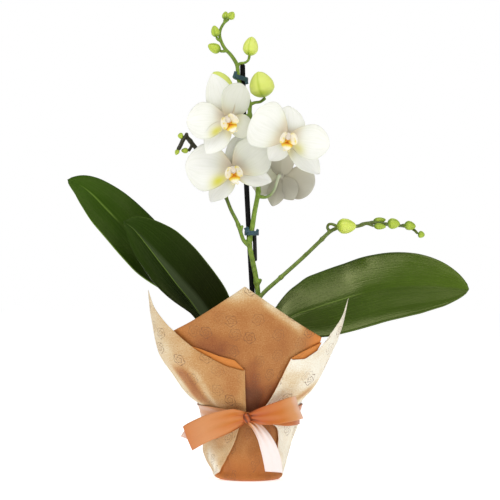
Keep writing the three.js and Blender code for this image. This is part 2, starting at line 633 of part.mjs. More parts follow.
// The sheet's edge: its height by direction round the outer layer, with the left, back and right corners.
const outerEdge = [
  [-326.3, 130], [-316.5, 130.5], [-307, 139], [-298.5, 155.5], [-285, 177], [-282, 193], [-277, 172],
  [-268, 146], [-245, 126], [-225, 124], [-200, 158], [-180, 190], [-160, 160], [-135, 125], [-110, 132],
  [-92, 162], [-84, 186], [-80, 203], [-72, 184], [-55, 163], [-36.5, 140], [-18, 124], [-5.5, 119],
];
const outerPlaces = [
  -5.5, -18, -30, -42, -54, -66, -75, -80, -86, -95, -108, -122, -136, -150, -165, -180, -195, -210, -224,
  -238, -254, -268, -277, -282, -287, -296, -306, -316, -326.3,
];
const middleLeftEdge = [[-62, 151], [-40, 142], [-25, 134], [-13, 130], [-5.5, 121]];
const middleRightEdge = [[33.7, 132], [42, 138], [58, 147]];
const frontPeak = { height: 206.5, across: -5.5, slope: 0.66, radius: 90 };
const frontEdge = (degrees) => {
  const across = frontPeak.radius * Math.sin(radians(degrees));
  return frontPeak.height - frontPeak.slope * Math.abs(across - frontPeak.across);
};
const foldTip = 1.3; // degrees by which a fold stands past the layers it joins
const footHeight = 3;
const wrapLevels = [sheetThick / 2, footHeight, 11, 21, 36, 56, 72, 80]; // heights up to the tie
const flareShares = [0.18, 0.4, 0.62, 0.83, 1]; // shares of the way from there to the edge

// The columns of the sheet, to the left round the back and then through the pleats: each has its place
// round the foot, its turn by height above that, its layer (0 outermost) and the height of its edge.
function wrapColumns() {
  const columns = [];
  const run = (layer, marks, places, edgeAt, footRange) => places.forEach((place, n) => {
    const rowAt = (z) => marks.map(([top, fold, turns = 0]) => [top, between(folds[fold], z) + turns]);
    const foot = mix(...footRange, n / (places.length - 1));
    columns.push({ layer, turn: (z) => between(rowAt(z), place), foot, edge: edgeAt(place) });
  });
  const tip = (layer, fold, shift, edge, foot) => {
    columns.push({ layer, turn: (z) => between(folds[fold], z) + shift, foot, edge });
  };
  const { outer, rightPleat, front, leftPleat } = footTurns;
  const share = (range, t) => mix(...range, t);
  run(0, [
    [-326.3, "rightOuter", -360], [-282, "rightCorner", -360], [-180, "back"],
    [-80, "leftCorner"], [-5.5, "leftOuter"],
  ], outerPlaces, (place) => between(outerEdge, place), outer);
  tip(0.5, "rightOuter", -foldTip, 131, rightPleat[0]);
  run(1, [[33.7, "rightOuter"], [58, "rightInner"]], [33.7, 42, 50, 58],
    (place) => between(middleRightEdge, place), [share(rightPleat, 0.2), share(rightPleat, 0.8)]);
  tip(1.5, "rightInner", foldTip, 147, rightPleat[1]);
  run(2, [[-62, "leftInner"], [58, "rightInner"]], [58, 43, 28, 12, -3.5, -18, -33, -48, -62],
    frontEdge, front);
  tip(1.5, "leftInner", -foldTip, 151, leftPleat[0]);
  run(1, [[-62, "leftInner"], [-5.5, "leftOuter"]], [-62, -48, -34, -20, -5.5],
    (place) => between(middleLeftEdge, place), [share(leftPleat, 0.17), share(leftPleat, 0.83)]);
  tip(0.5, "leftOuter", foldTip, 120, leftPleat[1]);
  return columns;
}

function makeWrap() {
  const columns = wrapColumns();
  const lastLevel = wrapLevels[wrapLevels.length - 1];
  const heightAt = (i, j) => {
    if (j < wrapLevels.length) return wrapLevels[j];
    return mix(lastLevel, columns[i].edge, flareShares[j - wrapLevels.length]);
  };
  const pointAt = (i, j) => {
    const z = heightAt(i, j);
    const inFoot = z <= footHeight;
    const turn = radians(inFoot ? columns[i].foot : columns[i].turn(z));
    const radius = wrapRadius(turn, z) - (inFoot ? 0 : columns[i].layer * layerStep);
    return new THREE.Vector3(radius * Math.sin(turn), -radius * Math.cos(turn), z);
  };
  const across = columns.length;
  const along = wrapLevels.length + flareShares.length - 1;
  const thickAt = () => sheetThick;
  addPiece("wrap", blade({ across, along, round: true, floor: true, pointAt, thickAt }), "wrap");
}

// ---------------------------------------------------------------- ribbon
// A flat strip along a line, its width held to a direction at each point.
function strip(line, widths, ways, along) {
  const curve = new THREE.CatmullRomCurve3(line.map(vec));
  const wayCurve = new THREE.CatmullRomCurve3(ways.map(vec));
  const rows = widths.map((width, i) => [i / (widths.length - 1), width]);
  return blade({
    across: 2,
    along,
    thickAt: () => ribbonThick,
    pointAt: (i, j) => {
      const v = j / along;
      const way = wayCurve.getPoint(v).normalize();
      return curve.getPoint(v).addScaledVector(way, (between(rows, v) / 2) * (i - 1));
    },
  });
}

const knot = [-3, -57, tieHeight];
const knotSize = [5.6, 4.8, 6.2];
const bow = {
  leftLoop: {
    line: [[-4, -58, 70], [-22, -62, 65], [-46, -56, 55.5], [-62, -42.5, 48], [-66, -37, 45.5],
      [-61.5, -37.5, 48], [-44, -46.5, 56], [-22, -56.5, 66], [-5, -56.5, 69]],
    widths: [9, 17, 25, 27, 27, 27, 23, 17, 9],
    ways: [[0.1, 0, 1], [0.1, 0, 1], [-0.1, 0, 1], [-0.3, 0, 1], [-0.4, 0, 1], [-0.3, 0, 1], [0, 0, 1],
      [0.2, 0, 1], [0.1, 0, 1]],
  },
  rightLoop: {
    line: [[-1, -58, 70], [15, -66, 72], [32, -67, 75.5], [46, -61, 79], [51, -57, 80], [47, -55.5, 79],
      [32, -60, 76], [15, -60, 72], [-1, -56.5, 69]],
    widths: [9, 19, 23, 25, 25, 25, 22, 18, 9],
    ways: [[-0.1, 0, 1], [-0.15, 0, 1], [-0.25, 0, 1], [-0.35, 0, 1], [-0.35, 0, 1], [-0.35, 0, 1],
      [-0.25, 0, 1], [-0.15, 0, 1], [-0.1, 0, 1]],
  },
  rightTail: {
    line: [[-2, -57, 67], [6, -59, 61], [14, -58.5, 50], [20, -56, 36], [23.5, -53, 22], [25, -51, 12]],
    widths: [8, 10, 14, 18, 19, 19],
    ways: [[1, 0.2, 0.6], [1, 0.2, 0.5], [1, 0.2, 0.35], [1, 0.2, 0.15], [1, 0.2, 0.05], [1, 0.2, -0.1]],
  },
  leftTail: {
    line: [[-5, -57, 66], [-18, -56.5, 60], [-36, -50, 53], [-56, -39, 49], [-69.5, -32, 46.5]],
    widths: [8, 14, 16, 16, 12],
    ways: [[0.3, 0, 1], [0.4, 0, 1], [0.5, 0, 1], [0.5, 0, 1], [0.7, 0, 1]],
  },
};

function makeRibbon() {
  const count = 36;
  const rows = 2;
  const slack = 0.85; // the band stands on the ridges of the gathered sheet
  const band = blade({
    across: count,
    along: rows,
    round: true,
    thickAt: () => ribbonThick,
    pointAt: (i, j) => {
      const turn = (i / count) * 2 * Math.PI;
      const pinch = mix(0.55, 1, smooth(Math.abs(Math.sin(turn / 2)), 0.05, 0.45));
      const z = tieHeight + (ribbonWidth / 2) * pinch * ((2 * j) / rows - 1);
      const radius = wrapSmooth(turn, z) + gatherDepth + sheetThick / 2 + slack + ribbonThick / 2;
      return new THREE.Vector3(radius * Math.sin(turn), -radius * Math.cos(turn), z);
    },
  });
  const knotBody = new THREE.SphereGeometry(1, 8, 6).scale(...knotSize).translate(...knot);
  const strips = Object.values(bow).map(({ line, widths, ways }) => strip(line, widths, ways, 10));
  addPiece("ribbon", fuse([band, knotBody, ...strips]), "ribbon");
}

// ---------------------------------------------------------------- stem clips
// A plastic ring round stem and stake, with two finger tabs.
function makeClip(name, { centre, inside, low, high, tabs }) {
  const wall = 1.3;
  const outline = new THREE.Shape().absellipse(...centre, inside[0] + wall, inside[1] + wall, 0, 2 * Math.PI);
  outline.holes.push(new THREE.Path().absellipse(...centre, ...inside, 0, 2 * Math.PI));
  const depth = high - low;
  const ring = new THREE.ExtrudeGeometry(outline, { depth, bevelEnabled: false, curveSegments: 9 });
  ring.translate(0, 0, low);
  const fingers = tabs.map(({ at, size, tilt }) => {
    const tab = new THREE.BoxGeometry(...size);
    tab.rotateY(radians(tilt));
    return tab.translate(...at);
  });
  addPiece(name, fuse([ring, ...fingers]), "clip");
}

// ---------------------------------------------------------------- the whole plant
makePot();
makeBark();
addPiece("crown", fuse([crownSolid(0), ...rootSolids(0)]), "stem");
leaves.forEach(makeLeaf);

const mainRadii = [3, 3.1, 3, 3, 2.9, 2.8, 2.8, 2.7, 2.6, 2.5, 2.2, 2, 1.9, 1.8, 1.5, 1.4, 1.2];
const stalks = blooms.map((bloom) => ({ line: stalkLine(bloom), r: 1.5 }));
addPiece("spike_main", fuse([
  bentSpindle(mainStem, mainRadii, 40, 7),
  bentSpindle(leftBranch, [2.2, 2.1, 2, 1.9, 1.6, 1.4, 1.3], 20, 6),
  ...twigs(mainPedicels, 3),
  ...twigs(leftPedicels, 2),
  ...twigs([bracts[0], bracts[2]], 2),
  ...twigs(stalks, 4),
]), "stem");
addPiece("spike_right", fuse([
  bentSpindle(rightSpike, [2.4, 2.3, 2.2, 2, 1.8, 1.5, 1.2], 26, 6),
  ...twigs(rightPedicels, 3),
  ...twigs([bracts[1]], 2),
]), "stem");
buds.forEach(makeBud);
blooms.forEach((bloom, n) => makeBloom(bloom, n + 1));

addPiece("stake_long", stake(0), "stake");
addPiece("stake_short", bentSpindle(straight(rodFoot, rodHead), [rodRadius], 3, 8), "stake");
makeClip("clip_lower", {
  centre: [1.8, 4.7], inside: [6.5, 8.6], low: 259.5, high: 264.5,
  tabs: [
    { at: [-3.2, -3.6, 265.5], size: [5, 1.6, 6], tilt: -24 },
    { at: [7.4, -2.6, 263.5], size: [3, 1.6, 6], tilt: 24 },
  ],
});
makeClip("clip_upper", {
  centre: [-10, 3], inside: [6.8, 6.6], low: 425.5, high: 430.5,
  tabs: [
    { at: [-15.4, -2.6, 429.6], size: [6, 1.6, 4], tilt: 14 },
    { at: [-4.6, -1.8, 425.6], size: [3, 1.6, 6.5], tilt: -12 },
  ],
});
makeWrap();
makeRibbon();

export default pieces;
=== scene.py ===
import random
from math import cos, exp, pi, radians, sin, sqrt

import bmesh
import bpy
from mathutils import Matrix, Vector, noise


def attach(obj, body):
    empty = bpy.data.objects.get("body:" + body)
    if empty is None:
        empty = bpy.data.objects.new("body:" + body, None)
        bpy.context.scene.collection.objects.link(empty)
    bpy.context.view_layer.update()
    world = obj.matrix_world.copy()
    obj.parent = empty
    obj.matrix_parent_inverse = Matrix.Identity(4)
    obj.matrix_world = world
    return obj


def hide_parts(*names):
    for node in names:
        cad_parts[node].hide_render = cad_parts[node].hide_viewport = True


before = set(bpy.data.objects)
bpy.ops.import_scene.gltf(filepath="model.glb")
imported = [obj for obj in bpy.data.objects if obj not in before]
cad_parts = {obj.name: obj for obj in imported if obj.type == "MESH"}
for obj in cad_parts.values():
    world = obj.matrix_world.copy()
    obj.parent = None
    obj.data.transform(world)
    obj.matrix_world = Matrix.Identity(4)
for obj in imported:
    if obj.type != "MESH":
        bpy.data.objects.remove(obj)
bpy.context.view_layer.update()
mm = 0.001  # the pieces are shaped in millimetres and made metres as they are finished
print("frame loaded")


# materials
def linear(hexColour):
    channels = [int(hexColour[i:i + 2], 16) / 255 for i in (1, 3, 5)]
    return tuple(c / 12.92 if c <= 0.04045 else ((c + 0.055) / 1.055) ** 2.4 for c in channels) + (1.0,)


def addNode(tree, kind, settings=None, stops=()):
    # a setting is a socket to link, the value of an input, or a property; the outputs come back
    node = tree.nodes.new("ShaderNode" + kind)
    for key, value in (settings or {}).items():
        if isinstance(value, bpy.types.NodeSocket):
            tree.links.new(value, node.inputs[key])
        elif isinstance(key, int) or key in node.inputs:
            node.inputs[key].default_value = value
        else:
            setattr(node, key, value)
    if stops:
        elements = node.color_ramp.elements
        while len(elements) < len(stops):
            elements.new(0.5)
        for element, (place, colour) in zip(elements, stops):
            element.position = place
            element.color = linear(colour)
    return node.outputs


def calc(tree, operation, *values):
    return addNode(tree, "Math", {"operation": operation, **dict(enumerate(values))})["Value"]


def remap(tree, value, low=0.0, high=1.0, start=0.0, end=1.0):
    return addNode(tree, "MapRange", {"Value": value, "From Min": low, "From Max": high, "To Min": start,
                                      "To Max": end})["Result"]


def cloudy(tree, place, scale, detail, roughness=0.5):
    return addNode(tree, "TexNoise", {"Vector": place, "Scale": scale, "Detail": detail,
                                      "Roughness": roughness})["Fac"]


def ramp(tree, value, *stops):
    return addNode(tree, "ValToRGB", {"Fac": value}, stops)["Color"]


def tinted(tree, colour, hexColour, share):
    return addNode(tree, "MixRGB", {"Fac": share, "Color1": colour, "Color2": linear(hexColour)})["Color"]


def floatNamed(tree, name):
    return addNode(tree, "Attribute", {"attribute_name": name})["Fac"]


def ownSpot(tree):
    return addNode(tree, "TexCoord")["Object"]


def bladeUv(tree, scale):
    # the mesh's own UV, u across the piece and v along it, stretched
    uv = addNode(tree, "UVMap", {"uv_map": "UVMap"})["UV"]
    return addNode(tree, "Mapping", {"Vector": uv, "Scale": scale})["Vector"]


def newMaterial(name, **surface):
    material = bpy.data.materials.new(name)
    material.use_nodes = True
    for key, value in surface.items():
        material.node_tree.nodes["Principled BSDF"].inputs[key.replace("_", " ")].default_value = value
    return material, material.node_tree


def coat(material, colour, relief=None, roughness=None):
    # relief is a height, its strength and its depth in metres
    tree = material.node_tree
    normal = relief and addNode(tree, "Bump", dict(zip(("Height", "Strength", "Distance"), relief)))["Normal"]
    for key, source in {"Base Color": colour, "Normal": normal, "Roughness": roughness}.items():
        if source is not None:
            tree.links.new(source, tree.nodes["Principled BSDF"].inputs[key])
    return material


# camera, lights and floor
studio = {
    "cameraDistance": 2200, "cameraHeight": 244, "frameWidth": 535,  # mm seen at the plant
    "floorSize": 12.0, "floorBelow": 0.0002, "floorColour": "#FFFFFF", "floorGlow": 0.56,
    "world": "#FFFFFF", "worldStrength": 0.36,
    "sunStrength": 0.4, "sunAngle": 16, "sunTurn": (42, 0, -35),
    "softBoxes": [  # name, place, size, strength
        ("boxTop", (0.5, 0.3, 1.9), (1.1, 0.5), 3),
        ("boxKey", (0.15, -1.65, 2.05), (3.0, 0.85), 23),  # its reflection is the broad gloss on the leaves
        ("boxLeft", (-1.6, -0.9, 1.2), (0.9, 1.4), 3),
        ("boxRight", (1.7, -0.4, 0.9), (0.5, 1.2), 2),
    ],
    "aim": Vector((0, 0, 0.25)),
}


def newObject(name, data):
    made = bpy.data.objects.new(name, data)
    bpy.context.scene.collection.objects.link(made)
    return made


def meshOf(name, bm):
    mesh = bpy.data.meshes.new(name)
    bm.to_mesh(mesh)
    bm.free()
    return mesh


def addCamera():
    camera = newObject("camera", bpy.data.cameras.new("camera"))
    camera.data.sensor_width = 36
    camera.data.lens = 36 * studio["cameraDistance"] / studio["frameWidth"]
    camera.data.clip_end = 50
    camera.location = (0, -studio["cameraDistance"] * mm, studio["cameraHeight"] * mm)
    camera.rotation_euler = (radians(90), 0, 0)
    bpy.context.scene.camera = camera


def addLights():
    sun = newObject("sun", bpy.data.lights.new("sun", "SUN"))
    sun.data.energy = studio["sunStrength"]
    sun.data.angle = radians(studio["sunAngle"])
    sun.rotation_euler = [radians(a) for a in studio["sunTurn"]]
    for name, place, size, strength in studio["softBoxes"]:
        light = newObject(name, bpy.data.lights.new(name, "AREA"))
        light.data.shape = "RECTANGLE"
        light.data.size, light.data.size_y = size
        light.data.energy = strength
        light.location = place
        light.rotation_euler = (studio["aim"] - Vector(place)).to_track_quat("-Z", "Y").to_euler()
    world = bpy.data.worlds.new("studio")
    world.use_nodes = True
    tree = world.node_tree
    background = tree.nodes["Background"]
    background.inputs["Color"].default_value = linear(studio["world"])
    # seen directly it is as white as the floor, and it lights the plant less than it shows
    seen = addNode(tree, "LightPath")["Is Camera Ray"]
    tree.links.new(remap(tree, seen, start=studio["worldStrength"]), background.inputs["Strength"])
    bpy.context.scene.world = world
    bpy.context.scene.view_settings.view_transform = "Standard"


def addFloor():
    bm = bmesh.new()
    bmesh.ops.create_grid(bm, x_segments=1, y_segments=1, size=studio["floorSize"] / 2)
    floor = newObject("floor", meshOf("floor", bm))
    floor.location.z = -studio["floorBelow"]
    # a little light of its own keeps the floor as pale as the backdrop
    paint, tree = newMaterial("mattFloorPaint", Roughness=0.9, Emission_Color=linear("#FFFFFF"),
                              Emission_Strength=studio["floorGlow"])
    speckle = addNode(tree, "TexNoise", {"Scale": 30, "Detail": 3})["Fac"]
    coat(paint, ramp(tree, speckle, (0, "#FCFCFC"), (1, studio["floorColour"])))
    floor.data.materials.append(paint)


addCamera()
addLights()
addFloor()
print("camera, lights and floor placed")


# shaping helpers, all in millimetres
def mix(a, b, t):
    return a + (b - a) * t


def clamp(x):
    return min(max(x, 0.0), 1.0)


def smooth(x, low, high):
    t = clamp((x - low) / (high - low))
    return t * t * (3 - 2 * t)


def hump(x, middle, reach):
    return exp(-(((x - middle) / reach) ** 2))


def between(rows, place):
    for (a, valueA), (b, valueB) in zip(rows, rows[1:]):
        if place <= b:
            return mix(valueA, valueB, clamp((place - a) / (b - a)))
    return rows[-1][1]


def curve(a, leave, b, arrive, t):
    # from a to b, whose slopes there are leave and arrive; numbers or points
    return (a * (2 * t ** 3 - 3 * t ** 2 + 1) + leave * (t ** 3 - 2 * t ** 2 + t)
            + b * (3 * t ** 2 - 2 * t ** 3) + arrive * (t ** 3 - t ** 2))


def softly(rows, place):
    # like between, but the corners at the rows are rounded off
    if place <= rows[0][0] or place >= rows[-1][0]:
        return between(rows, place)
    slopes = [(b[1] - a[1]) / (b[0] - a[0]) for a, b in zip(rows, rows[1:])]
    lean = [slopes[0]] + [0 if p * q <= 0 else 2 * p * q / (p + q) for p, q in zip(slopes, slopes[1:])]
    lean.append(slopes[-1])
    k = max(i for i, row in enumerate(rows[:-1]) if row[0] <= place)
    width = rows[k + 1][0] - rows[k][0]
    t = (place - rows[k][0]) / width
    return curve(rows[k][1], width * lean[k], rows[k + 1][1], width * lean[k + 1], t)


def evenRows(values):
    # rows for between and softly, the values set evenly from 0 to 1
    values = list(values) * (2 if len(values) == 1 else 1)
    return [(k / (len(values) - 1), value) for k, value in enumerate(values)]


def densely(points, dense=20):
    # many points on a smooth line through the given ones, an equal number between each two
    p = [Vector(q) for q in points]
    p = [p[0] * 2 - p[1]] + p + [p[-1] * 2 - p[-2]]
    fine = []
    for a, b, c, d in zip(p, p[1:], p[2:], p[3:]):
        before, span, after = (sqrt((t - s).length) for s, t in ((a, b), (b, c), (c, d)))
        span = span if span > 0.01 else 1.0
        before, after = (x if x > 0.01 else span for x in (before, after))
        leave = ((b - a) / before - (c - a) / (before + span) + (c - b) / span) * span
        arrive = ((c - b) / span - (d - b) / (span + after) + (d - c) / after) * span
        fine += [curve(b, leave, c, arrive, n / dense) for n in range(dense)]
    return fine + [p[-2]]


def smoothLine(points, steps):
    # the same line in even steps
    fine = densely(points)
    reach = [0.0]
    for s, t in zip(fine, fine[1:]):
        reach.append(reach[-1] + (t - s).length)
    line = []
    k = 0
    for n in range(steps + 1):
        goal = reach[-1] * n / steps
        while k < len(fine) - 2 and reach[k + 1] < goal:
            k += 1
        line.append(fine[k].lerp(fine[k + 1], clamp((goal - reach[k]) / max(reach[k + 1] - reach[k], 1e-9))))
    return line


def weld(bm, verts=None, apart=1e-4):
    bmesh.ops.remove_doubles(bm, verts=verts or bm.verts, dist=apart)


def gridInto(bm, columns, rows, place, attributes=None):
    # a grid whose points go where place(u, v) says, u and v from 0 to 1; attributes are floats by name
    made = bmesh.ops.create_grid(bm, x_segments=columns, y_segments=rows, size=0.5)["verts"]
    uvLayer = bm.loops.layers.uv["UVMap"]
    for face in {face for vert in made for face in vert.link_faces}:
        for loop in face.loops:
            loop[uvLayer].uv = (loop.vert.co.x + 0.5, loop.vert.co.y + 0.5)
    for vert in made:
        u, v = vert.co.x + 0.5, vert.co.y + 0.5
        for name, valueAt in (attributes or {}).items():
            vert[bm.verts.layers.float[name]] = valueAt(u, v)
        vert.co = place(u, v)
    return made


def tubeInto(bm, points, radii, sides, stepLength, bulges=()):
    # a round rod along a smooth line, its radii read evenly from foot to head, with rounded ends;
    # bulges are (share of the length, share thicker)
    caps = 3  # rows in each rounded end
    length = sum((Vector(b) - Vector(a)).length for a, b in zip(points, points[1:]))
    steps = max(6, int(length / stepLength))
    line = smoothLine(points, steps)
    rows = evenRows(radii)
    ways, side = [], None
    for k in range(steps + 1):
        way = (line[min(k + 1, steps)] - line[max(k - 1, 0)]).normalized()
        side = (way.orthogonal() if side is None else side - way * side.dot(way)).normalized()
        ways.append((way, side, way.cross(side)))
    total = steps + 2 * caps

    def place(u, v):
        n = round(v * total)
        k = min(max(n - caps, 0), steps)
        way, a, b = ways[k]
        radius = softly(rows, k / steps)
        for at, more in bulges:
            radius *= 1 + more * hump(k / steps * length, at * length, 1.8)
        shift = 0.0
        if n < caps or n > total - caps:
            turn = (n if n < caps else total - n) / caps * pi / 2
            shift = (cos(turn) * radius * 0.8) * (-1 if n < caps else 1)
            radius *= sin(turn)
        angle = 2 * pi * u
        return line[k] + way * shift + a * (radius * cos(angle)) + b * (radius * sin(angle))

    weld(bm, gridInto(bm, sides, total, place), 1e-5)


def latheInto(bm, outline, sides):
    # a turned body from its outline of (radius, height)
    def place(u, v):
        r, z = outline[round(v * (len(outline) - 1))]
        return Vector((r * cos(2 * pi * u), r * sin(2 * pi * u), z))

    gridInto(bm, sides, len(outline) - 1, place)
    weld(bm)


def blockInto(bm, shaped, matrix, bevel, segments):
    # a cube whose corners go where shaped says, then placed, with its edges bevelled
    made = bmesh.ops.create_cube(bm, size=1)["verts"]
    for vert in made:
        vert.co = shaped(vert.co)
    bmesh.ops.transform(bm, matrix=matrix, verts=made)
    edges = list(dict.fromkeys(e for vert in made for e in vert.link_edges))
    bmesh.ops.bevel(bm, geom=edges, offset=bevel, segments=segments, profile=0.5, affect="EDGES", material=-1)


def shade(piece, smoothAt=lambda face: True):
    faces = piece.data.polygons
    faces.foreach_set("use_smooth", [smoothAt(face) for face in faces])


def newMesh(*attributes):
    bm = bmesh.new()
    bm.loops.layers.uv.new("UVMap")
    for name in attributes:
        bm.verts.layers.float.new(name)
    return bm


def finishPiece(name, bm, material, slotName, *nodes):
    bmesh.ops.recalc_face_normals(bm, faces=bm.faces)
    bmesh.ops.scale(bm, vec=(mm, mm, mm), verts=bm.verts)
    piece = newObject(name, meshOf(name, bm))
    shade(piece)
    piece.data.materials.append(material)
    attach(piece, "root")
    if nodes:
        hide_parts(*nodes)
    return piece


def addModifier(piece, kind, apply=False, **settings):
    modifier = piece.modifiers.new(kind.lower(), kind)
    for key, value in settings.items():
        setattr(modifier, key, value)
    if apply:
        bpy.context.view_layer.update()
        graph = bpy.context.evaluated_depsgraph_get()
        mesh = bpy.data.meshes.new_from_object(piece.evaluated_get(graph))
        piece.modifiers.clear()
        piece.data = mesh
        shade(piece)


def thicken(piece, thickness):
    addModifier(piece, "SOLIDIFY", thickness=thickness * mm, offset=0)


def fuseSmooth(piece, voxel, rounds):
    # grows the overlapping rods of one plant piece together
    addModifier(piece, "REMESH", apply=True, mode="VOXEL", voxel_size=voxel * mm)
    addModifier(piece, "SMOOTH", apply=True, factor=0.5, iterations=rounds)


# leaves
# Living moth orchid leaves: thick and leathery, with a waxy skin that gives broad soft highlights, a
# grooved midrib and fine veins along the blade.
leafOutline = [
    (0, 0.16), (0.12, 0.34), (0.3, 0.7), (0.5, 0.95), (0.64, 1), (0.8, 0.88), (0.9, 0.64), (0.96, 0.4),
    (1, 0.2),
]
neckedOutline = [
    (0, 0.16), (0.22, 0.36), (0.3, 0.5), (0.36, 0.74), (0.45, 0.95), (0.58, 1), (0.7, 0.97), (0.8, 0.88),
    (0.9, 0.64), (0.96, 0.4), (1, 0.2),
]
# halves, fold, droop, edge and rim are for the lower and the upper half of the blade, and the rim is
# painted light through the thin edge. Roll turns the face up, in degrees, by the share of the length. Rib is
# where the painted highlight on the midrib starts and ends, its strength and width; band, the strength of a
# painted grey sheen; under, how much painted shade darkens the lower half; tuck, degrees, from, to.
leaves = [
    {
        "name": "leafBackLeft", "node": "leaf_back_left", "outline": leafOutline,
        "half": 33, "halves": (0.86, 1),
        "roll": [(0, 85), (0.3, 40), (1, 26)], "fold": (0.34, 0.34), "droop": (0.22, 0.22), "edge": (0, 0),
        "wave": 0.8,
        "dark": "#1A2608", "light": "#28390C", "tip": "#3A5A10", "shine": 0.13, "rib": (0.8, 0.9, 0.4, 0.035),
        "rim": (0.6, 0.15), "band": 0, "under": 0, "tuck": (32, 0.6, 0.38),
        "midrib": [(-7.6, 5.8, 97), (-19, 13, 120), (-37, 17, 149), (-57, 18, 177), (-82, 21, 207),
                   (-110, 23, 239), (-149, 24, 281.3), (-179.6, 25, 311), (-197.3, 26, 320)],
    },
    {
        "name": "leafFrontLeft", "node": "leaf_front_left", "outline": leafOutline,
        "half": 40, "halves": (0.6, 1),
        "roll": [(0, 85), (0.3, 40), (0.5, 34), (1, 32)], "fold": (0.45, 0.12), "droop": (0.14, -0.19),
        "edge": (-0.8, 0), "wave": 0.8,
        "dark": "#121A04", "light": "#1C2608", "tip": "#2C4410", "shine": 0.16, "rib": (0.1, 0.97, 0.6, 0.01),
        "rim": (0.0, 0.4), "band": 0.6, "under": 0, "tuck": (42, 0.74, 0.4),
        "midrib": [(-10.8, -5.4, 85), (-19, -9, 104), (-35, -10, 142), (-55.6, -10, 178), (-79.9, -15, 209.6),
                   (-101.4, -20, 238), (-124, -24, 266), (-133.5, -26, 273.2)],
    },
    {
        "name": "leafRight", "node": "leaf_right", "outline": neckedOutline,
        "half": 39, "halves": (0.95, 1),
        "roll": [(0, 82), (0.22, 30), (0.3, 13), (0.38, 11), (0.49, 16), (0.56, 16), (0.64, 10), (1, 2)],
        "fold": (-0.12, -0.04), "droop": (0.02, 0.13), "edge": (0.5, 0), "wave": 0.6,
        "dark": "#2A4004", "light": "#385204", "tip": "#466008", "shine": 0.72, "rib": (0.1, 0.55, 0.35, 0.01),
        "rim": (0.1, 0.15), "band": 0, "under": 0.62, "tuck": (0, 0.5, 0.4),
        "midrib": [(8.9, -1, 90), (15, 0, 114), (26, 2, 146), (41.8, 5, 170.5), (71.4, 12, 182),
                   (104.5, 18, 192.5), (137.7, 17, 202), (162.6, 18, 206), (188.8, 18, 206.8),
                   (213.4, 16, 204.7), (235.6, 14, 201.6)],
    },
]
leafThick = 1.3


def waxyLeaf(leaf):
    # leathery living leaf, IOR of plant wax about 1.45, its gloss a little yellow
    skin, tree = newMaterial("waxyLeaf" + leaf["name"][4:], IOR=1.45, Specular_IOR_Level=leaf["shine"],
                             Specular_Tint=(1, 1, 0.5, 1))
    place = addNode(tree, "SeparateXYZ", {"Vector": bladeUv(tree, (1, 1, 1))})
    across, along = place["X"], place["Y"]
    where = ownSpot(tree)
    # fine veins along the blade, about 2 mm apart, over cloudy patches of about 25 mm
    veins = cloudy(tree, bladeUv(tree, (26, 1.2, 1)), 1.6, 3, 0.7)
    mottled = calc(tree, "MULTIPLY_ADD", veins, 0.6, cloudy(tree, where, 38, 3))
    colour = ramp(tree, remap(tree, mottled, 0.45, 1.15), (0, leaf["dark"]), (1, leaf["light"]))
    # brighter towards the tip, where painted shade keeps the lower half darker
    colour = tinted(tree, colour, leaf["tip"], remap(tree, along, 0.55, 1.0, end=0.75))
    lower = calc(tree, "MULTIPLY", remap(tree, along, 0.48, 0.7, end=leaf["under"]),
                 remap(tree, across, 0.46, 0.5, 1.0, 0.0))
    colour = tinted(tree, colour, leaf["dark"], lower)
    # a painted highlight: a grey sheen band along one side of the midrib
    wedge = remap(tree, calc(tree, "MULTIPLY_ADD", along, 0.25, across), 0.73, 0.79, leaf["band"], 0.0)
    paintedSheen = calc(tree, "MULTIPLY", wedge, calc(tree, "GREATER_THAN", across, 0.505))
    colour = tinted(tree, colour, "#4E5A3E", paintedSheen)
    # a painted highlight along the midrib's groove, and painted light through the thin rim
    ribFrom, ribTo, ribStrength, ribWidth = leaf["rib"]
    off = calc(tree, "ABSOLUTE", calc(tree, "SUBTRACT", across, 0.5))
    shown = calc(tree, "MULTIPLY", remap(tree, along, ribFrom - 0.05, ribFrom),
                 remap(tree, along, ribTo, ribTo + 0.06, 1.0, 0.0))
    rib = calc(tree, "MULTIPLY", remap(tree, off, 0.003, ribWidth, ribStrength, 0.0), shown)
    rim = calc(tree, "MULTIPLY", remap(tree, off, 0.485, 0.5), remap(tree, across, 0.4, 0.6, *leaf["rim"]))
    colour = tinted(tree, colour, "#86A644", calc(tree, "ADD", rib, rim))
    # skin cells show as a fine grain, 1.4 mm, over the veins
    relief = calc(tree, "MULTIPLY_ADD", cloudy(tree, where, 700, 2), 0.9, veins)
    return coat(skin, colour, (relief, 0.4, 0.0005), remap(tree, veins, 0.3, 0.7, 0.2, 0.32))


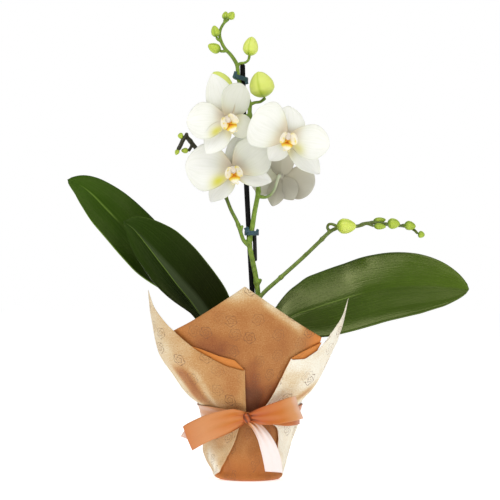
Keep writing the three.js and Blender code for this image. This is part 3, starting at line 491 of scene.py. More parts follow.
def makeLeaf(leaf):
    steps = 120
    line = smoothLine(leaf["midrib"], steps)
    toViewer = Vector((0, -1, 0))
    tuckTurn, tuckFrom, tuckTo = leaf["tuck"]
    bm = newMesh()

    def place(u, v):
        k = min(round(v * steps), steps)
        tangent = (line[min(k + 1, steps)] - line[max(k - 1, 0)]).normalized()
        face = (toViewer - tangent * toViewer.dot(tangent)).normalized()
        up = face.cross(tangent)
        up = -up if up.z < 0 else up
        turn = radians(softly(leaf["roll"], v))
        normal = face * cos(turn) + up * sin(turn)
        side = up * cos(turn) - face * sin(turn)
        across = 2 * u - 1
        s = abs(across)
        tip = sqrt(max(0.0, 1 - v ** 44))
        half = 0 if across < 0 else 1
        width = leaf["half"] * softly(leaf["outline"], v) * tip * leaf["halves"][half]
        lift = width * (leaf["fold"][half] * s - leaf["droop"][half] * s * s) * mix(1.5, 0.7, v)
        lift += width * leaf["edge"][half] * max(0.0, s - 0.55) ** 2
        lift -= 0.9 * hump(across * width, 0, 1.6) * (1 - v)  # the groove
        lift += leaf["wave"] * s ** 3 * sin(v * 17 + (2 if across < 0 else 0)) * smooth(v, 0.2, 0.5)
        lift += 0.35 * noise.noise(line[k] * 0.05 + side * across * 2)
        # towards its foot the blade is channelled: one half stands up along the midrib
        tuck = radians(tuckTurn) * smooth(v, tuckFrom, tuckTo) if across < 0 else 0
        aside, ahead = width * across * cos(tuck), lift * cos(tuck) + width * s * sin(tuck)
        return line[k] + side * aside + normal * ahead

    gridInto(bm, 28, steps, place)
    weld(bm)
    piece = finishPiece(leaf["name"], bm, waxyLeaf(leaf), "leaf", leaf["node"])
    thicken(piece, leafThick)


for leaf in leaves:
    makeLeaf(leaf)
print("leaves made")


# blooms
# Moth orchid petals: soft white tissue, velvety and slightly translucent, with faint veins and a
# greenish yellow flush at the foot of each blade.
petalShape = {"belly": 1.25, "round": 0.55, "cup": 0.22}
fanShape = {"belly": 1.6, "round": 0.42, "cup": 0.22}
lobeShape = {"belly": 0.75, "round": 0.9, "cup": 0.18}
sepalShape = {"belly": 0.95, "round": 0.7, "cup": 0.18}
hubRadius = 4.4


def blade(way, long, wide, lean, curl, shape, **more):
    # way in degrees from the flower's right, lean and curl forwards in degrees; more holds twist, shade and
    # dull, both painted shade, and flush: where across the blade a yellow patch lies, and how strong it is
    return dict(more, way=way, long=long, wide=wide, lean=lean, curl=curl, shape=shape)


blooms = [
    {
        "centre": (-23.2, -34, 380), "turn": 2, "tilt": 0, "roll": 27,
        "petals": [
            blade(108, 51, 30, 3, -12, sepalShape),
            blade(70, 40, 42, 4, 4, petalShape, twist=42, dull=0.16, shade=0.3),
            blade(181, 42, 40, 4, -14, petalShape, flush=(0.86, 0.9)),
            blade(237, 40, 27, 3, -14, sepalShape),
            blade(-22, 30, 25, -6, -10, sepalShape, dull=0.16, shade=0.35),
        ],
    },
    {
        "centre": (38.5, -34, 362), "turn": 8, "tilt": 0, "roll": -8,
        "petals": [
            blade(85, 33, 36, -3, -12, sepalShape),
            blade(151, 41, 53, 4, -12, fanShape),
            blade(-9, 45, 37, 6, -14, petalShape, flush=(0.2, 0.6)),
            blade(-45, 52, 26, -6, -12, sepalShape),
            blade(236, 30, 24, -22, -10, sepalShape),
        ],
    },
    {
        "centre": (-17.5, -13, 329), "turn": 0, "tilt": -6, "roll": 8,
        "petals": [
            blade(79, 38, 25, -2, -8, sepalShape),
            blade(174, 50, 50, 4, -14, petalShape, flush=(0.84, 1.0)),
            blade(36, 44, 44, 2, -10, petalShape, shade=0.2),
            blade(-17, 41, 22, 0, -12, sepalShape),
            blade(234, 41, 24, 0, -14, sepalShape),
        ],
    },
    {
        # this bloom faces away: its dull grey is painted shade
        "centre": (33.4, 20, 323), "turn": 165, "tilt": -6, "roll": 0, "dull": 0.95,
        "petals": [
            blade(92, 34, 28, -3, -12, sepalShape),
            blade(194, 37, 38, 4, -14, petalShape),
            blade(2, 34, 40, 4, -14, petalShape, dull=0.55, shade=0.3),
            blade(238, 29, 24, -3, -10, sepalShape),
            blade(283, 32, 22, -3, -10, sepalShape),
        ],
    },
]
lipLobes = [  # a middle lobe and two that stand up beside the column
    blade(270, 11, 12.5, 30, -30, lobeShape),
    blade(20, 14, 13, 38, 24, petalShape),
    blade(160, 14, 13, 38, 24, petalShape),
]
tendril = [(0.6, -13, 10.4), (2.2, -14.6, 10.8), (3.6, -13.4, 11.6), (3, -12, 12)]
petalThick, lipThick = 0.55, 0.6


def petalTissue():
    # living petal: rough, with a velvety sheen, lit through a little
    material, tree = newMaterial("whitePetalTissue", Roughness=0.62, IOR=1.38, Sheen_Weight=0.1,
                                 Sheen_Roughness=0.5, Subsurface_Weight=0.2, Subsurface_Scale=0.003,
                                 Subsurface_Radius=(1, 0.95, 0.75))
    # veins fan along the blade, about 2 mm apart
    veins = cloudy(tree, bladeUv(tree, (16, 1.5, 1)), 1.5, 4, 0.6)
    colour = ramp(tree, veins, (0.25, "#EFF0E4"), (0.65, "#F9F9F1"))
    # painted shade: greenish towards the foot and edges, dull grey where turned from the light; yellow patches
    # pinkish beige by the lip: the column's own colour, and painted shade on the petal bases
    for name, tint in (("shade", "#C4CAA8"), ("dull", "#B4AE9C"), ("pinkAndShade", "#C8B09A"), ("flush", "#D4CE4A")):
        colour = tinted(tree, colour, tint, floatNamed(tree, name))
    return coat(material, colour, (veins, 0.15, 0.0004))


def lipTissue():
    # the lip is waxier than the petals: white margins, yellow lobes and an orange throat with darker streaks
    material, tree = newMaterial("yellowLipTissue", Roughness=0.42, IOR=1.4, Subsurface_Weight=0.15,
                                 Subsurface_Scale=0.002, Subsurface_Radius=(1, 0.95, 0.7))
    streak = cloudy(tree, bladeUv(tree, (9, 1.5, 1)), 2.2, 2)
    total = calc(tree, "ADD", floatNamed(tree, "tone"), calc(tree, "MULTIPLY_ADD", streak, 0.4, -0.2))
    return coat(material, ramp(tree, total, (0.0, "#F8F3E8"), (0.25, "#F6EBC4"), (0.45, "#F2E060"),
                               (0.65, "#F0CA38"), (0.85, "#E8981E"), (1.0, "#C4661C")))


def bloomFrame(bloom):
    turn, tilt = radians(bloom["turn"]), radians(-bloom["tilt"])
    out = Matrix.Rotation(turn, 3, "Z") @ Matrix.Rotation(tilt, 3, "X") @ Vector((0, -1, 0))
    right = -out.cross(Vector((0, 0, 1))).normalized()
    up = out.cross(right).normalized()
    return {"centre": Vector(bloom["centre"]), "right": right, "up": up, "out": out}


def bladeInto(bm, axes, petal, seed, attributes, start=1.5, ahead=0.0, columns=20, rows=26, ripple=0.8):
    # one petal, sepal or lobe; start and ahead are mm from the flower's middle, along and forwards
    turn, twist = radians(petal["way"]), radians(petal.get("twist", 0))
    way = axes["right"] * cos(turn) + axes["up"] * sin(turn)
    side = axes["out"].cross(way).normalized()
    side = side * cos(twist) + axes["out"] * sin(twist)
    shape = petal["shape"]

    def place(u, v):
        across = 2 * u - 1
        v = 1 - (1 - v) ** 1.4  # rows closer together towards the round tip
        reach = mix(0.04, 0.9999, v)
        half = petal["wide"] / 2 * max(sin(pi * reach ** shape["belly"]), 1e-6) ** shape["round"]
        half *= 1 + 0.07 * noise.noise((v * 3.2, 1.7 if across < 0 else 6.4, seed * 3.1))  # uneven outline
        bend = radians(petal["lean"] + petal["curl"] * v / 2)
        length = start + petal["long"] * v
        rise = ahead + length * sin(bend) + shape["cup"] * half * across * across
        rise -= 0.5 * hump(across * half, 0, 1.6) * (1 - v) * smooth(v, 0, 0.2)  # groove along the middle
        waves = sin(v * 9 + seed * 2.1 + (1.4 if across < 0 else 0))
        rise += ripple * across * across * waves * smooth(v, 0.15, 0.6)
        return axes["centre"] + way * (length * cos(bend)) + side * (half * across) + axes["out"] * rise

    gridInto(bm, columns, rows, place, attributes)


def petalTones(bloom, petal, n, number):
    # how yellow a blade is at each point, and its painted shade: greenish, dull grey and pinkish beige
    low = sin(radians(petal["way"] - bloom["roll"])) < -0.2
    dull = petal.get("dull", bloom.get("dull", 0.05))
    yellow = (1 - dull) * (0.4 if low else 0.1)
    pinkAndShade = 0.7 * (1 - bloom.get("dull", 0))
    flushPlace, flushStrength = petal.get("flush", (0, 0))

    def flushAt(u, v):
        patches = clamp(0.7 + noise.noise((u * 3, v * 3, n + number * 5)))
        return clamp(yellow * smooth(v, 0.4, 0.1) * patches
                     + flushStrength * hump(u, flushPlace, 0.17) * hump(v, 0.2, 0.13))

    return {
        "flush": flushAt,
        "shade": lambda u, v: petal.get("shade", 0) + 0.35 * smooth(v, 0.5, 0.0) + 0.2 * abs(2 * u - 1) ** 5,
        "dull": lambda u, v: dull * (0.75 + 0.25 * smooth(v, 0.9, 0.2)),
        "pinkAndShade": lambda u, v: pinkAndShade * smooth(v, 0.3, 0.05),
    }


def makeLip(number, axes, turned, roll, look):
    def middleTone(u, v):
        return 0.95 - 0.9 * smooth(v, 0.1, 0.62) + 0.3 * abs(2 * u - 1) ** 2 * hump(v, 0.45, 0.2)

    def sideTone(u, v, n):
        patches = clamp(0.15 + 1.4 * noise.noise((u * 5, v * 4, number * 3 + n)))
        return (0.66 - 0.6 * smooth(v, 0, 0.34) + 0.2 * abs(2 * u - 1) ** 3 * smooth(v, 0.9, 0.6)
                + 0.42 * hump(v, 0.5, 0.24) * patches)

    bm = newMesh("tone")
    for n, lobe in enumerate(lipLobes):
        toneAt = (lambda u, v, n=n: sideTone(u, v, n)) if n else middleTone
        bladeInto(bm, axes, dict(lobe, way=lobe["way"] + roll), n, {"tone": toneAt}, start=0.5, columns=14,
                  rows=16, ripple=0.3)
    weld(bm)
    lobes = finishPiece("lip%dLobes" % number, bm, look, "lip", "lip_%d" % number)
    thicken(lobes, lipThick)

    bm = newMesh("tone")
    foot, out, right, up = (axes[k] for k in ("centre", "out", "right", "up"))
    for side in (-1, 1):  # the two halves of the callus
        line = [foot + right * side * 1.1, foot + right * side * 1.3 + out * 1.6,
                foot + right * side * 1.6 + out * 3.4 + up * 0.6]
        tubeInto(bm, line, [1.2, 1.3, 0.7], sides=10, stepLength=0.5)
    toneLayer = bm.verts.layers.float["tone"]
    for vert in bm.verts:
        vert[toneLayer] = 0.8
    for side in (-1, 1):  # a thin tendril curls from each side of the middle lobe's tip
        tubeInto(bm, [turned(side * x, y, z) for x, y, z in tendril], [0.5, 0.4, 0.35, 0.2], sides=6,
                 stepLength=0.5)
    for vert in bm.verts:
        vert[toneLayer] = vert[toneLayer] or 0.3
    finishPiece("lip%dCallus" % number, bm, look, "lip", "lip_%d" % number)


def makeBloom(bloom, number, tissue, lipLook):
    axes = bloomFrame(bloom)
    roll = radians(bloom["roll"])
    tones = ("flush", "shade", "dull", "pinkAndShade")

    def turned(x, y, z):
        return (axes["centre"] + axes["out"] * z + axes["right"] * (x * cos(roll) - y * sin(roll))
                + axes["up"] * (x * sin(roll) + y * cos(roll)))

    bm = newMesh(*tones)
    for n, petal in enumerate(bloom["petals"]):
        bladeInto(bm, axes, petal, n + number, petalTones(bloom, petal, n, number),
                  ahead=0.0 if petal["shape"] is sepalShape else 1.5)
    weld(bm)
    petals = finishPiece("bloom%dPetals" % number, bm, tissue, "petal", "bloom_%d" % number)
    thicken(petals, petalThick)

    # the column stands out of the middle, hooded over its tip, with the flower's foot behind it
    bm = newMesh(*tones)
    footLine = [turned(0, 0, -hubRadius + 0.6), turned(0, 0, -1), turned(0, 0, 1.4)]
    tubeInto(bm, footLine, [1.6, 3.2, 2.6], sides=16, stepLength=0.6)
    columnLine = [turned(0, 0.5, -1), turned(0, 1.6, 5), turned(0, 1.5, 9), turned(0, -0.2, 12.4)]
    tubeInto(bm, columnLine, [3.2, 3.7, 3.6, 3.7, 2.8], sides=18, stepLength=0.5)
    pinkLayer, shadeLayer, dullLayer = (bm.verts.layers.float[name] for name in ("pinkAndShade", "shade", "dull"))
    # the column is pinker towards its tip; painted shade darkens it towards its foot, and dull greys a bloom
    # that faces away
    for vert in bm.verts:
        ahead = (vert.co - axes["centre"]).dot(axes["out"])
        vert[pinkLayer] = 0.55 * smooth(ahead, 1, 6)
        vert[shadeLayer] = 0.6 * smooth(ahead, 3, -2)
        vert[dullLayer] = bloom.get("dull", 0)
    finishPiece("bloom%dColumn" % number, bm, tissue, "petal", "bloom_%d" % number)
    makeLip(number, dict(axes, centre=turned(0, -3.2, 7.2)), turned, bloom["roll"], lipLook)


whitePetal, yellowLip = petalTissue(), lipTissue()
for number, bloom in enumerate(blooms, 1):
    makeBloom(bloom, number, whitePetal, yellowLip)
print("blooms made")


# buds
# Closed moth orchid buds: firm and slightly waxy, yellow-green, with the seams of three sepals.
budProfile = [(0, 0.06), (0.05, 0.45), (1 / 6, 0.8), (1 / 3, 1), (1 / 2, 0.98), (2 / 3, 0.85), (5 / 6, 0.6),
              (0.95, 0.32), (1, 0.02)]
buds = [  # end of the pedicel, tip, greatest radius
    ("bud_top_1", (-22.6, -6.1, 490.2), (-17.4, -8.4, 497.7), 4.3),
    ("bud_top_2", (-27.1, -2.6, 490.4), (-25.6, 0, 499.2), 3.5),
    ("bud_left_upper", (-35.7, -7.9, 471), (-38.4, -9.4, 483.2), 4.6),
    ("bud_left_lower", (-31.5, -3.2, 456.6), (-44.8, -4, 463), 5.4),
    ("bud_right", (-0.6, -3, 451.4), (2.2, -3.6, 471.9), 8.2),
    ("bud_large", (15.6, -6.4, 406.9), (8.6, -8, 434.2), 13.3),
    ("bud_behind", (-25.9, -4.5, 408.8), (-38.6, -8, 434), 12.4),
    ("bud_branch_1", (-71.6, 1, 366.2), (-77.2, -1, 366.2), 3.3),
    ("bud_branch_2", (-76.8, -2.3, 351.5), (-79.2, -3, 345.6), 2.5),
    ("bud_branch_3", (-66.1, 4, 350.6), (-73.6, 1, 350.4), 3),
    ("bud_right_1", (92.2, -6.1, 269.7), (113.4, -6.6, 269.3), 8.2),
    ("bud_right_2", (132, 5.2, 274.6), (145.8, 6.8, 276.6), 3.6),
    ("bud_right_3", (132, -4.2, 269.6), (145.2, -6, 268.8), 3.4),
    ("bud_right_4", (146.7, 0, 272.4), (160.6, 0, 272), 5.8),
    ("bud_right_5", (164.9, -0.4, 271.2), (177.4, -0.4, 268.8), 5),
    ("bud_right_6", (179.4, -2, 261.4), (186.8, -2, 259.6), 3.8),
]


def budSkin():
    # firm living skin with a dull waxy shine
    material, tree = newMaterial("waxyBudSkin", Roughness=0.42, IOR=1.42, Subsurface_Weight=0.1,
                                 Subsurface_Scale=0.0015, Subsurface_Radius=(0.8, 1, 0.3))
    mottle = cloudy(tree, ownSpot(tree), 150, 2)
    # darker along the seams and at the foot, and with painted shade on some buds
    tone = calc(tree, "MULTIPLY_ADD", mottle, 0.04, floatNamed(tree, "seamsGreenAndShade"))
    colour = ramp(tree, tone, (0.05, "#DCE672"), (0.3, "#C6D650"), (0.6, "#9CB436"), (1.0, "#6C8628"))
    return coat(material, colour, (mottle, 0.08, 0.0003))


def makeBud(node, foot, tip, radius, skin):
    foot, tip = Vector(foot), Vector(tip)
    way = (tip - foot).normalized()
    side = way.orthogonal().normalized()
    other = way.cross(side)
    bm = newMesh("seamsGreenAndShade")

    def seamAt(angle):
        # the three seams between the sepals
        return abs(cos(1.5 * (angle + 0.5))) ** 60

    def place(u, v):
        angle = 2 * pi * u
        wide = radius * softly(budProfile, v) * (1 - 0.05 * seamAt(angle) * smooth(v, 0.1, 0.4))
        wide *= 1 + 0.012 * cos(3 * angle + 1) * v
        return foot.lerp(tip, v) + side * (wide * cos(angle)) + other * (wide * sin(angle))

    # small buds, and those of the right spike, are darker: partly their own greener colour, partly painted
    # shade
    green = 0.13 * (foot.x > 90) + 0.42 * smooth(radius, 9, 4.4)
    gridInto(bm, 36, 26, place, {
        "seamsGreenAndShade": lambda u, v: green + 0.3 * seamAt(2 * pi * u) + 0.5 * smooth(v, 0.35, 0.0),
    })
    weld(bm)
    finishPiece(node.replace("_", ""), bm, skin, "bud", node)


budLook = budSkin()
for name, foot, tip, radius in buds:
    makeBud(name, foot, tip, radius, budLook)
print("buds made")


# stems
# Living flower spikes: round and a little glossy, swollen at each node, bright green on the main spike
# and darker on the branch.
crownTop, gap = 100, 0.35
mainStem = [
    (3.4, -0.5, crownTop + gap), (6, -1.5, 130), (9, 0.5, 165), (8.6, 1.5, 195), (5.9, 1, 217), (2, 0.5, 236),
    (-0.6, 0, 250), (0.3, 0, 259), (2.4, 0.2, 268), (4.6, 1, 283), (8, 2, 301), (9, 3, 311), (7, 4, 330),
    (3.4, 4, 353), (2.1, 3, 375), (-0.3, 2, 390), (-0.2, 1, 400), (-3, 0, 408), (-7, 0, 415), (-11.2, 0, 423),
    (-12.8, 0, 432), (-14, 0, 442), (-20, -1, 452), (-26.5, -2, 459), (-30, -2.5, 465), (-32.2, -3, 472),
    (-32, -3.5, 478), (-28, -4, 486), (-23.3, -5.5, 489.8),
]
mainRadii = [3, 3.1, 3, 3, 2.9, 2.8, 2.8, 2.7, 2.6, 2.5, 2.4, 2.4, 2.3, 2.3, 2.1, 1.8, 1.5]
leftBranch = [
    (-0.8, 0, 248), (-4.6, -0.4, 251.5), (-7.2, -0.2, 255), (-9.4, 0.4, 261), (-13.6, 2, 273.5),
    (-20.4, 4, 287), (-26.4, 6, 302), (-36, 9, 322), (-49, 10, 342), (-61, 7, 357), (-66, 4, 363),
    (-69, 2, 365.2), (-71.8, 0, 361.5), (-74, -1, 356.5), (-76.4, -2, 352),
]
rightSpike = [
    (-3.2, -2.2, crownTop + gap), (-1.5, -6, 130), (1, -7, 160), (4.6, -6.5, 181), (11.8, -5, 195),
    (32.2, -1, 214), (56.8, 2, 236), (73, 2, 251.5), (86.7, 2, 264.3), (96.5, 4, 268.4), (107.2, 5, 269.6),
    (115.7, 4, 269.6), (123.8, 2, 272.4), (139, 1.5, 272.8), (146, 5, 271.6), (154, 8.4, 270.4),
    (162, 6.4, 270), (170, 7.2, 268.4), (176, 4, 265.4), (178.6, -1, 262.2),
]
mainPedicels = [
    ([(-13.6, 0, 441), (-10.5, -1, 443.6), (-5, -2, 444.4), (-1.7, -3, 447.2), (-0.7, -3, 450.9)], 1.3),
    ([(-25, -2, 457), (-28, -2.6, 456.3), (-31, -3, 456.4)], 1.4),
    ([(-31.6, -3, 467.5), (-34, -5.4, 468.4), (-35.4, -7.6, 470.2)], 1.3),
    ([(-28, -4, 486), (-27.4, -3.5, 488), (-27.2, -3, 489.9)], 1.2),
    ([(-0.2, 1, 399.5), (5, -1, 401.6), (11, -4, 402.3), (15.6, -6, 405.5)], 1.5),
    ([(-3, 0, 408), (-10, -1, 406.5), (-19, -3, 405.4), (-25.2, -4, 407.8)], 1.4),
    ([(-67.2, 3, 364.6), (-68, 2, 368.2)], 1.7),
    ([(-62, 7, 357.5), (-64, 5.5, 353), (-65.4, 4.4, 351)], 1.5),
]
rightPedicels = [
    ([(86, 2, 263.7), (82.9, 0, 267.5), (84, -3, 271.2), (87.5, -5.6, 271.6), (91.6, -6, 270)], 1.4),
    ([(123.8, 2, 272.4), (127.5, 3.8, 273.6), (131.4, 5, 274.4)], 1.1),
    ([(124, 2, 272.4), (127.6, -1.6, 271), (131.4, -4, 269.7)], 1.1),
    ([(140, 2, 272.7), (143.5, 0.8, 272.6), (146.1, 0, 272.4)], 1.2),
    ([(161, 6.6, 270), (162.6, 2.4, 270.6), (164.3, 0.2, 271.1)], 1.1),
]
mainBracts = [
    ([(-9.6, 0.2, 262), (-9, -1, 266), (-8.4, -1.4, 269.4)], 1.3),
    ([(7.6, 1, 205), (10.2, 0.4, 209.4), (11.2, 0.2, 212)], 1.5),
]
rightBracts = [([(56.8, 2, 236), (58.6, 0.8, 238.6), (60.4, 0.2, 240.2)], 1.6)]
flowerStalks = [
    [(-0.2, 2, 388), (-7, -7, 387), (-16, -19, 384.5)], [(2.2, 3, 373), (11, -4, 372), (24, -17, 366)],
    [(-36, 9, 322), (-33, 5, 327), (-25, -1, 329)],
    [(8.4, 2.4, 301.5), (16, 5, 300.6), (21.5, 8, 303), (26.5, 11, 310)],
]
lastFlower = (0.0334, 0.016, 0.323)  # in metres, by the back of its hub


def stemSkin(name, way, reach, dark, bright, far):
    # smooth living stem with a soft waxy shine, mottled; it changes colour over a reach of one direction
    material, tree = newMaterial(name, Roughness=0.38, IOR=1.42, Subsurface_Weight=0.1, Subsurface_Scale=0.002)
    where = ownSpot(tree)
    mottle = cloudy(tree, where, 220, 4, 0.6)  # flecks about 3 mm
    along = addNode(tree, "VectorMath", {"operation": "DOT_PRODUCT", 0: where, 1: way})["Value"]
    colour = tinted(tree, ramp(tree, mottle, (0.3, dark), (0.65, bright)), far, remap(tree, along, *reach))
    # the last flower's stalk pales towards the flower
    apart = addNode(tree, "VectorMath", {"operation": "DISTANCE", 0: where, 1: lastFlower})["Value"]
    colour = tinted(tree, colour, "#CDD4B4", remap(tree, apart, 0.01, 0.032, 1.0, 0.0))
    return coat(material, colour, (mottle, 0.2, 0.0004))


def makeSpike(name, node, stems, twigList, look):
    bm = newMesh()
    for line, radii, bulges in stems:
        tubeInto(bm, line, radii, sides=20, stepLength=1.2, bulges=bulges)
    for line, r in twigList:
        tubeInto(bm, line, [r * 1.45, r * 1.15, r * 1.1, r * 1.25], sides=14, stepLength=0.8)
    spike = finishPiece(name, bm, look, "stem", node)
    fuseSmooth(spike, 0.5, 5)


def stalkLine(bloom, stalk):
    axes = bloomFrame(bloom)
    ends = [axes["centre"] - axes["out"] * d for d in (2 * hubRadius, hubRadius + 2 * gap)]
    return [Vector(p) for p in stalk] + ends


mainTwigs = mainPedicels + mainBracts + [(stalkLine(b, s), 1.5) for b, s in zip(blooms, flowerStalks)]
makeSpike("spikeMain", "spike_main", [
    (mainStem, mainRadii,
     [(0.16, 0.28), (0.27, 0.3), (0.385, 0.25), (0.515, 0.25), (0.63, 0.2), (0.72, 0.22)]),
    (leftBranch, [2.2, 2.1, 2, 1.9, 1.9, 2.4, 2.3], [(0.17, 0.25), (0.38, 0.2), (0.6, 0.22), (0.85, 0.2)]),
], mainTwigs, stemSkin("greenStemSkin", (-1, 0, -0.15), (-0.03, -0.01), "#5E7822", "#88A43A", "#343320"))
makeSpike("spikeRight", "spike_right", [
    (rightSpike, [2.4, 2.3, 2.3, 2.2, 2.1, 1.9, 1.5], [(0.2, 0.25), (0.42, 0.3), (0.62, 0.3), (0.78, 0.2)]),
], rightPedicels + rightBracts,
          stemSkin("oliveStemSkin", (1, 0, 0), (0.03, 0.1), "#587022", "#7E9636", "#5E6E2C"))
print("spikes made")


# stakes and clips
# Plastic-coated stakes, matt black; stem clips of tough glossy plastic.
rods = [
    {
        "name": "stakeLong", "node": "stake_long", "radius": 2.8, "sides": 28, "step": 3,
        "line": [(11, 14, 14), (6.8, 10.5, 110), (2.4, 7.4, 199), (-2.6, 5.8, 290), (-5.8, 5.2, 360),
                 (-8, 5.2, 441.5)],
        "look": ("blackStakeCoating", "#030303", "#0A0908", 0.7, 300, 0.0003, 0.2),
    },
    {
        "name": "stakeShort", "node": "stake_short", "radius": 2.1, "sides": 24, "step": 2,
        "line": [(5.6, 5, 233.5), (5.2, 5, 248.25), (4.8, 5, 263)],
        "look": ("darkRodPlastic", "#141512", "#22231F", 0.55, 300, 0.0003, 0.3),
    },
]
clips = [  # each ear is its middle, its size and its tilt in degrees
    {
        "name": "clipLower", "node": "clip_lower", "centre": (1.8, 4.7), "inside": (6.5, 8.6),
        "heights": (259.5, 264.5), "slope": 0,
        "ears": [((-3.2, -3.6, 265.5), (5, 1.6, 6), -24), ((7.4, -2.6, 263.5), (3, 1.6, 6), 24)],
    },
    {
        "name": "clipUpper", "node": "clip_upper", "centre": (-10, 3), "inside": (6.8, 6.6),
        "heights": (425.5, 430.5), "slope": 0.24,
        "ears": [((-16.2, -2.6, 431.4), (3.4, 1.6, 7.5), 18), ((-4.2, -1.8, 424.8), (3.4, 1.6, 7.5), -16)],
    },
]
clipWall = 1.3


def plasticSkin(name, dark, bright, rough, scale, depth, shine=0.5):
    # moulded plastic, IOR 1.49, a little uneven
    material, tree = newMaterial(name, IOR=1.49, Specular_IOR_Level=shine)
    cloud = cloudy(tree, ownSpot(tree), scale, 5)
    return coat(material, ramp(tree, cloud, (0.3, dark), (0.7, bright)), (cloud, 0.2, depth),
                remap(tree, cloud, start=rough - 0.08, end=rough + 0.08))


def makeRod(rod):
    bm = newMesh()
    tubeInto(bm, rod["line"], [rod["radius"]], sides=rod["sides"], stepLength=rod["step"])
    finishPiece(rod["name"], bm, plasticSkin(*rod["look"]), "stake_plastic", rod["node"])


def squared(turn):
    # a share from -1 to 1 that makes a circle a rounded oblong
    return abs(turn) ** 0.35 * (1 if turn > 0 else -1)


def makeClip(clip, look):
    bm = newMesh()
    low, high = clip["heights"]

    def place(u, v):
        # a rounded oblong section, so that the ring has soft edges
        a, b = 2 * pi * u, 2 * pi * v
        out = clipWall / 2 * (1 + squared(cos(b)))
        x, y = ((inside + out) * turn for inside, turn in zip(clip["inside"], (cos(a), sin(a))))
        z = (low + high) / 2 + (high - low) / 2 * squared(sin(b)) - clip["slope"] * x
        return Vector((clip["centre"][0] + x, clip["centre"][1] + y, z))

    gridInto(bm, 72, 20, place)
    weld(bm)
    for at, size, tilt in clip["ears"]:
        spot = Matrix.Translation(at) @ Matrix.Rotation(radians(tilt), 4, "Y")
        blockInto(bm, lambda corner, size=size: Vector(c * s for c, s in zip(corner, size)), spot, 0.5, 3)
    finishPiece(clip["name"], bm, look, "clip_plastic", clip["node"])


for rod in rods:
    makeRod(rod)
clipLook = plasticSkin("tealClipPlastic", "#24404A", "#35565E", 0.34, 120, 0.0001)
for clip in clips:
    makeClip(clip, clipLook)
print("stakes and clips made")


# grower's pot, bark and crown
potHeight, potFootRadius, potTopRadius, potWall, rimHeight, rimOut = 80, 29.5, 43, 1.2, 5, 1.8
potFloor = 0.8 + gap  # the pot stands on the wrap, 0.8 mm thick in the CAD
drainCount, drainRing, drainRadius = 6, 18, 4.5
barkTop, chipCount, barkClear = 68, 96, gap + 0.2
stakeSpot, stakeRoom, crownRoom = (8, 11.5), 7, 9.5  # chips keep clear of the stake and the crown
chipTurn = 2.4  # radians from one chip to the next, which spreads them over the top
crownLine = [(0, 0, 60), (0, 0, 74), (0, 0, 88), (0, 0, crownTop)]
crownRadii = [5, 6.5, 7.5, 7.5, 6.5]
roots = [
    [(-5, -3, 74), (-15, -9, 79.5), (-23, -13, 78.5), (-28, -15, 70), (-29, -15, 60)],
    [(4, -4, 73), (12, -14, 79), (17, -22, 78.5), (19, -27, 70), (19, -28, 60)],
    [(-3, 5, 74), (-10, 15, 79.5), (-15, 23, 78.5), (-16, 28, 70), (-16, 29, 60)],
    [(6, 1, 73), (17, 0, 79), (26, -3, 78.5), (31, -5, 70), (32, -6, 60)],
]


def potRadius(z):
    return mix(potFootRadius, potTopRadius, (z - potFloor) / potHeight)


def makePot():
    top = potFloor + potHeight
    rimFoot = top - rimHeight
    outline = [
        (0, potFloor), (potFootRadius - 1.2, potFloor), (potFootRadius - 0.2, potFloor + 0.5),
        (potFootRadius + 0.3, potFloor + 1.6), (potRadius(rimFoot), rimFoot - 0.2),
        (potRadius(rimFoot) + 0.5, rimFoot), (potRadius(rimFoot) + rimOut, rimFoot + 0.3),
        (potRadius(top) + rimOut, top - 0.4), (potRadius(top) + rimOut - 0.4, top),
        (potRadius(top) - potWall + 0.4, top), (potRadius(top) - potWall, top - 0.4),
        (potRadius(potFloor + 3.4) - potWall, potFloor + 3.4),
        (potRadius(potFloor) - potWall - 1, potFloor + potWall), (0, potFloor + potWall),
    ]
    bm = newMesh()
    latheInto(bm, outline, 96)
    look = plasticSkin("brownPotPlastic", "#5A3A28", "#6E4A36", 0.45, 90, 0.0002)
    pot = finishPiece("pot", bm, look, "pot_plastic", "pot")
    bm = newMesh()
    for n in range(drainCount):
        turn = n / drainCount * 2 * pi
        spot = Matrix.Translation((drainRing * cos(turn), drainRing * sin(turn), potFloor))
        bmesh.ops.create_cone(bm, cap_ends=True, segments=32, radius1=drainRadius, radius2=drainRadius,
                              depth=7, matrix=spot)
    drains = finishPiece("drains", bm, look, "pot_plastic")
    addModifier(pot, "BOOLEAN", apply=True, operation="DIFFERENCE", object=drains, solver="EXACT")
    bpy.data.objects.remove(drains)
    shade(pot, lambda face: abs(face.normal.z) < 0.9)


def barkSkin():
    # dry fir bark, rough and fissured
    material, tree = newMaterial("dryFirBark", Roughness=0.92, IOR=1.4)
    along = addNode(tree, "Mapping", {"Vector": ownSpot(tree), "Scale": (1, 1, 3)})["Vector"]
    grain = cloudy(tree, along, 260, 8, 0.7)
    return coat(material, ramp(tree, grain, (0.3, "#38241A"), (0.55, "#6B4630"), (0.75, "#8E6646")),
                (grain, 0.7, 0.0008))


